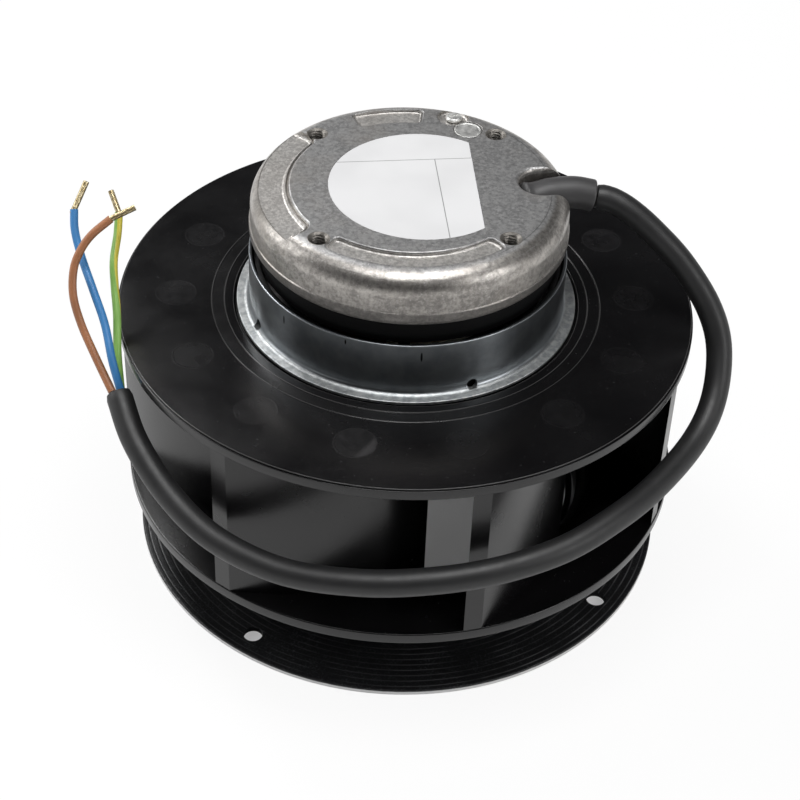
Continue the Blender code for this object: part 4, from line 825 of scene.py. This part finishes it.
def build_impeller():
    black = moulded_black()
    ledge = 0.38
    plate = rounded([
        (35.5, 65.9), (39.8, 65.9), (40.3, 66.6, 0.1), (42.1, 66.6), (42.2, 66.67), (42.42, 66.67),
        (42.55, 66.57), (45.05, 66.42), (45.15, 66.49), (45.37, 66.49), (45.5, 66.4),
        (PLATE_R - ledge, PLATE_TOP, 0.12), (PLATE_R - ledge, PLATE_TOP - ledge),
        (PLATE_R, PLATE_TOP - ledge, 0.14), (PLATE_R, PLATE_LOW, 0.3),
        (37.5, PLATE_LOW, 1.5), (37.5, 56.1, 0.3), (35.5, 56.1, 0.2),
    ])
    radii = np.concatenate([np.linspace(BLADE_IN, 46.5, 4)[:-1], np.linspace(46.5, BLADE_TIP, 26)])
    blades = [blade_shell(radii, BLADE_START + FULL * blade / BLADES) for blade in range(BLADES)]
    piece("impeller_moulding", together(turned(plate, 240), *blades), black,
          "rotor", "impeller_wheel", sharp=28.0)

    wide, tall, low = COVER_CURVE_R - EYE_R, COVER_TOP - COVER_CURVE_Z, COVER_TOP - COVER_T
    air = ellipse_arc(COVER_CURVE_R, COVER_CURVE_Z, wide, tall, 20)
    under = ellipse_arc(COVER_CURVE_R, COVER_CURVE_Z, wide - COVER_FOOT_T, tall - COVER_T, 16)
    rim = rounded([(60.0, COVER_TOP), (COVER_R, COVER_TOP, 0.35), (COVER_R, low, 0.35), (60.0, low)])
    wall = EYE_R + COVER_FOOT_T
    foot = rounded([(wall, 9.0), (wall, COVER_FOOT, 0.4), (EYE_R, COVER_FOOT, 0.4), (EYE_R, 9.0)])
    piece("cover_ring_moulding", turned(np.concatenate([rim, under[::-1], foot, air]), 240), black,
          "rotor", "impeller_cover_ring")


def blade_shell(radii, tip_angle):
    """A log-spiral blade: at radius r its middle stands at the tip's angle plus ln(tip radius over r)
    over the tangent of its lean, and its foot follows the cover ring's curve."""
    share = (radii - BLADE_IN) / (BLADE_TIP - BLADE_IN)
    thick = BLADE_NOSE_T + (BLADE_T - BLADE_NOSE_T) * np.clip(share * 4, 0, 1)
    thick[:3] *= (0.45, 0.8, 0.95)
    middle = tip_angle + np.log(BLADE_TIP / radii) / math.tan(BLADE_LEAN)
    half = thick / (2 * radii * math.sin(BLADE_LEAN))
    across = np.clip((COVER_CURVE_R - radii - 0.5) / (COVER_CURVE_R - EYE_R), 0, 1)
    foot = COVER_CURVE_Z + (COVER_TOP - COVER_CURVE_Z) * np.sqrt(1 - across ** 2) - 0.3
    top = np.full_like(radii, PLATE_LOW + BLADE_EMBED)
    rows = []
    for side, height in ((-1, foot), (-1, top), (1, top), (1, foot)):
        angle = middle + side * half
        rows.append(np.stack([radii * np.cos(angle), radii * np.sin(angle), height], -1))
    return skin(np.array(rows).transpose(1, 0, 2), caps="ab")


# Inlet ring

def build_inlet_ring():
    """The spun ring: a flat rim with fine turned grooves, and the throat. A groove's depth at radius r
    falls as a bell curve of the distance from its middle."""
    r = np.arange(INLET_R - 0.6, INLET_CURVE_R + 0.5, -0.1)
    off = (r - GROOVE_START) % GROOVE_PITCH - GROOVE_MIDDLE
    face = np.column_stack([r, INLET_T - GROOVE_DEPTH * np.exp(-(off / GROOVE_HALF) ** 2)])
    edge = rounded([(64.3, 0.0), (INLET_R, 0.0, 0.15), (INLET_R, INLET_T, 0.35), (64.3, INLET_T)])
    inner = INLET_BEND - INLET_T
    upper = ellipse_arc(INLET_CURVE_R, INLET_BEND, inner, -inner, 16)
    lower = ellipse_arc(INLET_CURVE_R, INLET_BEND, INLET_BEND, -INLET_BEND, 18)
    throat = [(THROAT_R + INLET_T, THROAT_TOP), (THROAT_R, THROAT_TOP)]
    outline = np.concatenate([edge[1:-1], face, upper[::-1], throat, lower])
    ring = piece("inlet_ring_sheet", turned(outline, 240))
    holes = []
    for index in range(INLET_HOLES):
        hole = disc_at(INLET_HOLE_CIRCLE, INLET_HOLE_AZIMUTH + 90 * index, INLET_HOLE_R, 6)
        holes.append(pocket(hole, -1.0, INLET_T, 0.0, 0.0, 0.15))
    cut(ring, holes, 25.0)
    dress(ring, coated_sheet(), "stator", "inlet_ring")


# Rotor

def build_rotor():
    # The cup is painted near black, as painted shade, so that the gap under the collar and the collar's holes
    # look black.
    steel = plain_metal("cup_steel_painted_shade", (0.02, 0.02, 0.021), 0.45, stretch=(1.0, 1.0, 0.1), metallic=0.5)
    cup = rounded([
        (35.2, 78.5, 0.2), (35.2, 38.5, 3.5), (20.0, 38.5), (19.3, 39.0), (12.0, 39.0), (11.3, 38.5),
        (6.2, 38.5), (5.6, 39.0), (4.3, 39.0), (4.3, 39.7), (34.0, 39.7, 2.3), (34.0, 78.5, 0.2),
    ])
    piece("rotor_cup_shell", turned(cup, 192), steel, "rotor", "rotor_cup")

    collar = rounded([
        (COLLAR_IN, COLLAR_TOP, 0.25), (COLLAR_R, COLLAR_TOP, 0.25), (COLLAR_R, 67.0, 1.4), (39.5, 67.0, 0.2),
        (39.5, 66.2, 0.2), (COLLAR_IN, 66.2, 1.6),
    ])
    ring = piece("rotor_collar_shell", turned(collar, 192))
    t = turn_steps(24)[:, None]
    holes = []
    for index in range(COLLAR_HOLES):
        azimuth = COLLAR_HOLE_AZIMUTH + 90 * index
        across, up = polar(COLLAR_HOLE_R, azimuth + 90), np.array((0, 0, COLLAR_HOLE_R))
        rim = across * np.cos(t) + up * np.sin(t) + (0, 0, COLLAR_HOLE_Z)
        holes.append(skin(np.array([rim + polar(r, azimuth) for r in (34.5, 37.3)]), caps="ab"))
    cut(ring, holes, 28.0)
    dress(ring, zinc_sheet(), "rotor", "rotor_collar")

    ground = plain_metal("ground_steel", (0.60, 0.60, 0.61), 0.22, 0.06, 2600.0)
    shaft = rounded([
        (0.0, 90.0), (4.0, 90.0, 0.5), (4.0, 50.0), (3.5, 50.0), (3.5, 48.6), (4.0, 48.6),
        (4.0, 38.9, 0.5), (0.0, 38.9),
    ])
    piece("rotor_shaft", turned(shaft, 64), ground, "rotor", "shaft")


def build_bearings():
    """Two bearings: rings with shields whose tracks are arcs about the balls' middles, and the balls."""
    steel = plain_metal("bearing_steel", (0.62, 0.62, 0.64), 0.14, 0.04, 2600.0)
    reach = math.acos(LAND_STEP / TRACK_R)
    t = np.linspace(-reach, reach, 13)
    track = circle(TRACK_R, t)
    pole = np.linspace(-math.pi / 2, math.pi / 2, 17)
    half_circle = circle(BALL_R, pole)
    half_circle[[0, -1], 0] = 0.0
    ball = turned(half_circle, 28)
    out, into = BALL_CIRCLE + LAND_STEP, BALL_CIRCLE - LAND_STEP
    for name, low in BEARING_LOWS.items():
        middle, high = low + BEARING_W / 2, low + BEARING_W
        rim = rounded([(BEARING_R, high, 0.3), (BEARING_R, low, 0.3), (SHIELD_IN, low), (SHIELD_IN, high)])
        outer = [
            (SHIELD_IN, low), (SHIELD_IN, low + SHIELD_T), (out, low + SHIELD_T),
            *(track + (BALL_CIRCLE, middle)),
            (out, high - SHIELD_T), (SHIELD_IN, high - SHIELD_T), (SHIELD_IN, high), *rim[:-2],
        ]
        inner = [
            (into, low), *(track * (-1, 1) + (BALL_CIRCLE, middle)), (into, high),
            (BEARING_BORE, high), (BEARING_BORE, low),
        ]
        for side, outline, body in (("outer", outer, "stator"), ("inner", inner, "rotor")):
            piece(f"{name}_{side}_race", turned(np.array(outline), 64), steel, body,
                  f"{name}_bearing_{side}_ring")
        for index in range(BALLS):
            place = polar(BALL_CIRCLE, 360 * index / BALLS) + (0, 0, middle)
            piece(f"{name}_ball_{index + 1}", moved(ball, place), steel, name + "_ball_set",
                  f"{name}_bearing_ball_{index + 1}")


# Motor

def build_winding_cover():
    black = plain_plastic("cover_moulding", (0.003, 0.003, 0.0033), 0.5, Specular_IOR_Level=0.12)
    cover = rounded([
        (34.2, 85.1, 0.4), (34.2, 79.6, 0.2), (32.8, 79.6, 0.2), (32.8, 83.6, 1.0), (15.3, 83.6),
        (15.3, 85.1),
    ])
    piece("winding_cover_moulding", turned(cover, 192), black, "stator", "winding_cover")


def flange_section():
    """Half of the casting's section: the dish outside, and the tube that holds the bearings."""
    return rounded([
        (0.0, FLANGE_TOP), (35.85, FLANGE_TOP, 5.0), (36.05, 88.7), (36.3, 88.45, 0.2), (36.3, 86.5, 0.2),
        (35.6, 86.5), (35.6, 85.4, 0.3), (25.5, 85.4), (25.5, 91.5), (15.0, 91.5), (15.0, 70.6),
        (13.0, 70.6), (13.0, 46.3), (11.3, 46.3), (11.3, 48.6), (11.8, 48.6), (11.8, 50.0), (11.3, 50.0),
        (11.3, 90.55), (0.0, 90.55),
    ], 12)


def arc_outline(inner, outer, start, end, corner):
    """Outline of a pocket along an arc: a rounded box bent round the axis, x as the arc, y as r."""
    mid_r, mid_a = (inner + outer) / 2, math.radians((start + end) / 2)
    half_x, half_y = math.radians(end - start) / 2 * mid_r, (outer - inner) / 2

    def outline(out):
        x, y = rounded_box(half_x + out, half_y + out, corner + out, 28).T
        return circle(mid_r + y, mid_a + x / mid_r)
    return outline


def disc_at(radius, azimuth, size, chords=12):
    middle = polar(radius, azimuth)[:2]
    return lambda out: middle + rounded_box(size + out, size + out, size + out, 1, chords)


def notch_outline(out):
    """The cable's slot: a box with one round end, turned 12 degrees, that runs out through the rim."""
    half = NOTCH_HALF + out
    x, y = rounded_box(NOTCH_REACH + out, half, half, 4, 10).T
    placed = NOTCH_AT + (x + NOTCH_REACH - NOTCH_HALF + 1j * y) * np.exp(1j * NOTCH_TURN)
    return np.stack([placed.real, placed.imag], -1)


def tap_cutter(azimuth):
    """A threaded rod with a wide mouth: its radius is a triangle wave of the height over the pitch plus
    the share of a turn, and grows to the countersink near the face."""
    z = np.concatenate([np.arange(TAP_BOTTOM, FLANGE_TOP + 0.2, 0.1), [FLANGE_TOP + 2.0]])[:, None]
    a = turn_steps(32)
    wave = np.abs(((z / THREAD_PITCH - a / FULL) % 1.0) * 2 - 1)
    r = np.where(z < FLANGE_TOP + 0.1, THREAD_IN + THREAD_DEPTH * wave, 2.0)
    r = np.maximum(r, np.clip(2.0 + (z - FLANGE_TOP + 0.4), 0, TAP_MOUTH))
    rows = np.stack([r * np.cos(a), r * np.sin(a), np.repeat(z, 32, 1)], -1)
    return skin(rows + polar(TAP_CIRCLE, azimuth), caps="ab")


def label_outline(out):
    """A disc whose side towards the cable is cut off straight."""
    half = math.acos((LABEL_CUT + out) / (LABEL_R + out))
    a = np.linspace(LABEL_TURN + half, LABEL_TURN - half + FULL, 120)
    return circle(LABEL_R + out, a) + (LABEL_X, 0)


def slot_outline():
    """A short narrow slot across the screw's head."""
    slot = np.array([1.3 + 0.18j, -1.3 + 0.18j, -1.3 - 0.18j, 1.3 - 0.18j]) * np.exp(1j * math.radians(25))
    return polar(*SCREW_AT)[:2] + np.stack([slot.real, slot.imag], -1)


def build_motor_flange():
    top = FLANGE_TOP
    flange = piece("flange_casting", turned(flange_section(), 216))
    tools = [
        pocket(arc_outline(28.0, 44.0, 143.0, 220.0, 2.5), top - 1.2, top, 0.9, 0.5, 0.6),
        pocket(arc_outline(26.3, 30.5, -125.5, -47.5, 1.0), top - 0.8, top, 0.5, 0.35, 0.35),
        pocket(arc_outline(26.2, 31.2, 86.5, 117.0, 0.9), top - 0.7, top, 0.4, 0.35, 0.3),
        pocket(disc_at(30.5, 72.2, 3.6), top - 1.3, top, 0.6, 0.1, 0.25),
        pocket(disc_at(*DISC_AT, 3.35), top - 0.7, top, 0.0, 0.05, 0.12),
        layers([label_outline(0.05)] * 2, (top - 0.12, top + 2)),
        pocket(notch_outline, 88.8, top, 1.0, 0.3, 0.9),
    ]
    tools += [tap_cutter(TAP_AZIMUTH + 90 * index) for index in range(TAPS)]
    cut(flange, tools, 38.0)
    even = flange.modifiers.new("even_shading", "WEIGHTED_NORMAL")
    even.keep_sharp = True
    even.weight = 80
    dress(flange, cast_metal(), "stator", "motor_flange")

    label = layers([label_outline(out) for out in (0, 0, -0.04)], (top - 0.11, top - 0.04, top - 0.01))
    piece("label_disc", label, label_film(), "stator", "rating_label")

    head = rounded([
        (0.0, 97.35), (1.5, 97.35), (1.9, 96.95, 0.1), (1.9, 96.5), (1.2, 96.5), (1.2, 92.0), (0.0, 92.0),
    ], 3)
    screw = piece("earth_screw_head", moved(turned(head, 48), polar(*SCREW_AT)))
    cut(screw, [layers([slot_outline()] * 2, (97.1, 98.0))], 30.0)
    zinc = plain_metal("zinc_bright", (0.92, 0.92, 0.90), 0.45, 0.08, 900.0)
    dress(screw, zinc, "stator", "earth_screw")

    disc = rounded([
        (0.0, 97.3), (2.7, 97.3), (2.85, 97.42), (3.2, 97.42, 0.1), (3.2, 96.85), (0.0, 96.85),
    ], 3)
    dull = plain_metal("dull_zinc", (0.78, 0.78, 0.76), 0.5, 0.08, 700.0)
    piece("blanking_plate", moved(turned(disc, 64), polar(*DISC_AT)), dull,
          "stator", "blanking_disc")


# Pieces that stay as packed

def finish_hidden(nodes):
    """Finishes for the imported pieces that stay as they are, most of them inside the motor."""
    enamel = (0.48, 0.17, 0.05)
    looks = {
        "lamination": plain_metal("stacked_sheet", (0.22, 0.22, 0.23), 0.5, 0.08, 900.0, 0.8, (0.2, 0.2, 3)),
        "cage_aluminium": plain_metal("cast_cage", (0.60, 0.60, 0.60), 0.42),
        "rotor_steel": plain_metal("turned_steel", (0.30, 0.31, 0.32), 0.36),
        "shaft_steel": plain_metal("spring_clip", (0.40, 0.40, 0.41), 0.3),
        "cage_brass": plain_metal("pressed_brass", (0.62, 0.46, 0.20), 0.32),
        "spring_steel": plain_metal("spring_steel", (0.34, 0.34, 0.36), 0.3),
        "insulator_plastic": plain_plastic("insulator", (0.74, 0.72, 0.64), 0.5),
        "winding_enamel": plain_metal("enamelled_winding", enamel, 0.28, 0.08, 2600.0, 0.6, (0.1, 0.1, 4)),
        "shading_copper": plain_metal("bare_copper", (0.72, 0.36, 0.20), 0.32),
        "protector_case": plain_plastic("protector_case", (0.78, 0.78, 0.75), 0.4),
        "lead_sheath": plain_plastic("lead_sheath", (0.68, 0.66, 0.58), 0.5),
    }
    slots = {row["node"]: row["material_slot"] for row in frame["record"]["subparts"]}
    for name, obj in nodes.items():
        key = slots[name]
        look = looks["lamination"] if key.endswith("lamination") else looks.get(key)
        if look is None or obj.hide_render:
            continue
        for place in obj.material_slots:
            place.link = "OBJECT"
            place.material = look
        if not obj.material_slots:
            obj.data.materials.append(look)


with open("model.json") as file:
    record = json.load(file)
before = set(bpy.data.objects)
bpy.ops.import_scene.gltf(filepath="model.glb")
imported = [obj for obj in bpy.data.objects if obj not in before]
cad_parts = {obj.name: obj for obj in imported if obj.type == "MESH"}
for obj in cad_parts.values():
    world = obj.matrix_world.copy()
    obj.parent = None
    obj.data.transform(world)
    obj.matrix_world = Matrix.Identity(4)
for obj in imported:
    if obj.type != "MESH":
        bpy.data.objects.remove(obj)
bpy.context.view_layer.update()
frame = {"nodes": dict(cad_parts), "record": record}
place_camera()
build_cable()
build_studio()
build_impeller()
build_inlet_ring()
build_rotor()
build_bearings()
build_winding_cover()
build_motor_flange()
finish_hidden(frame["nodes"])
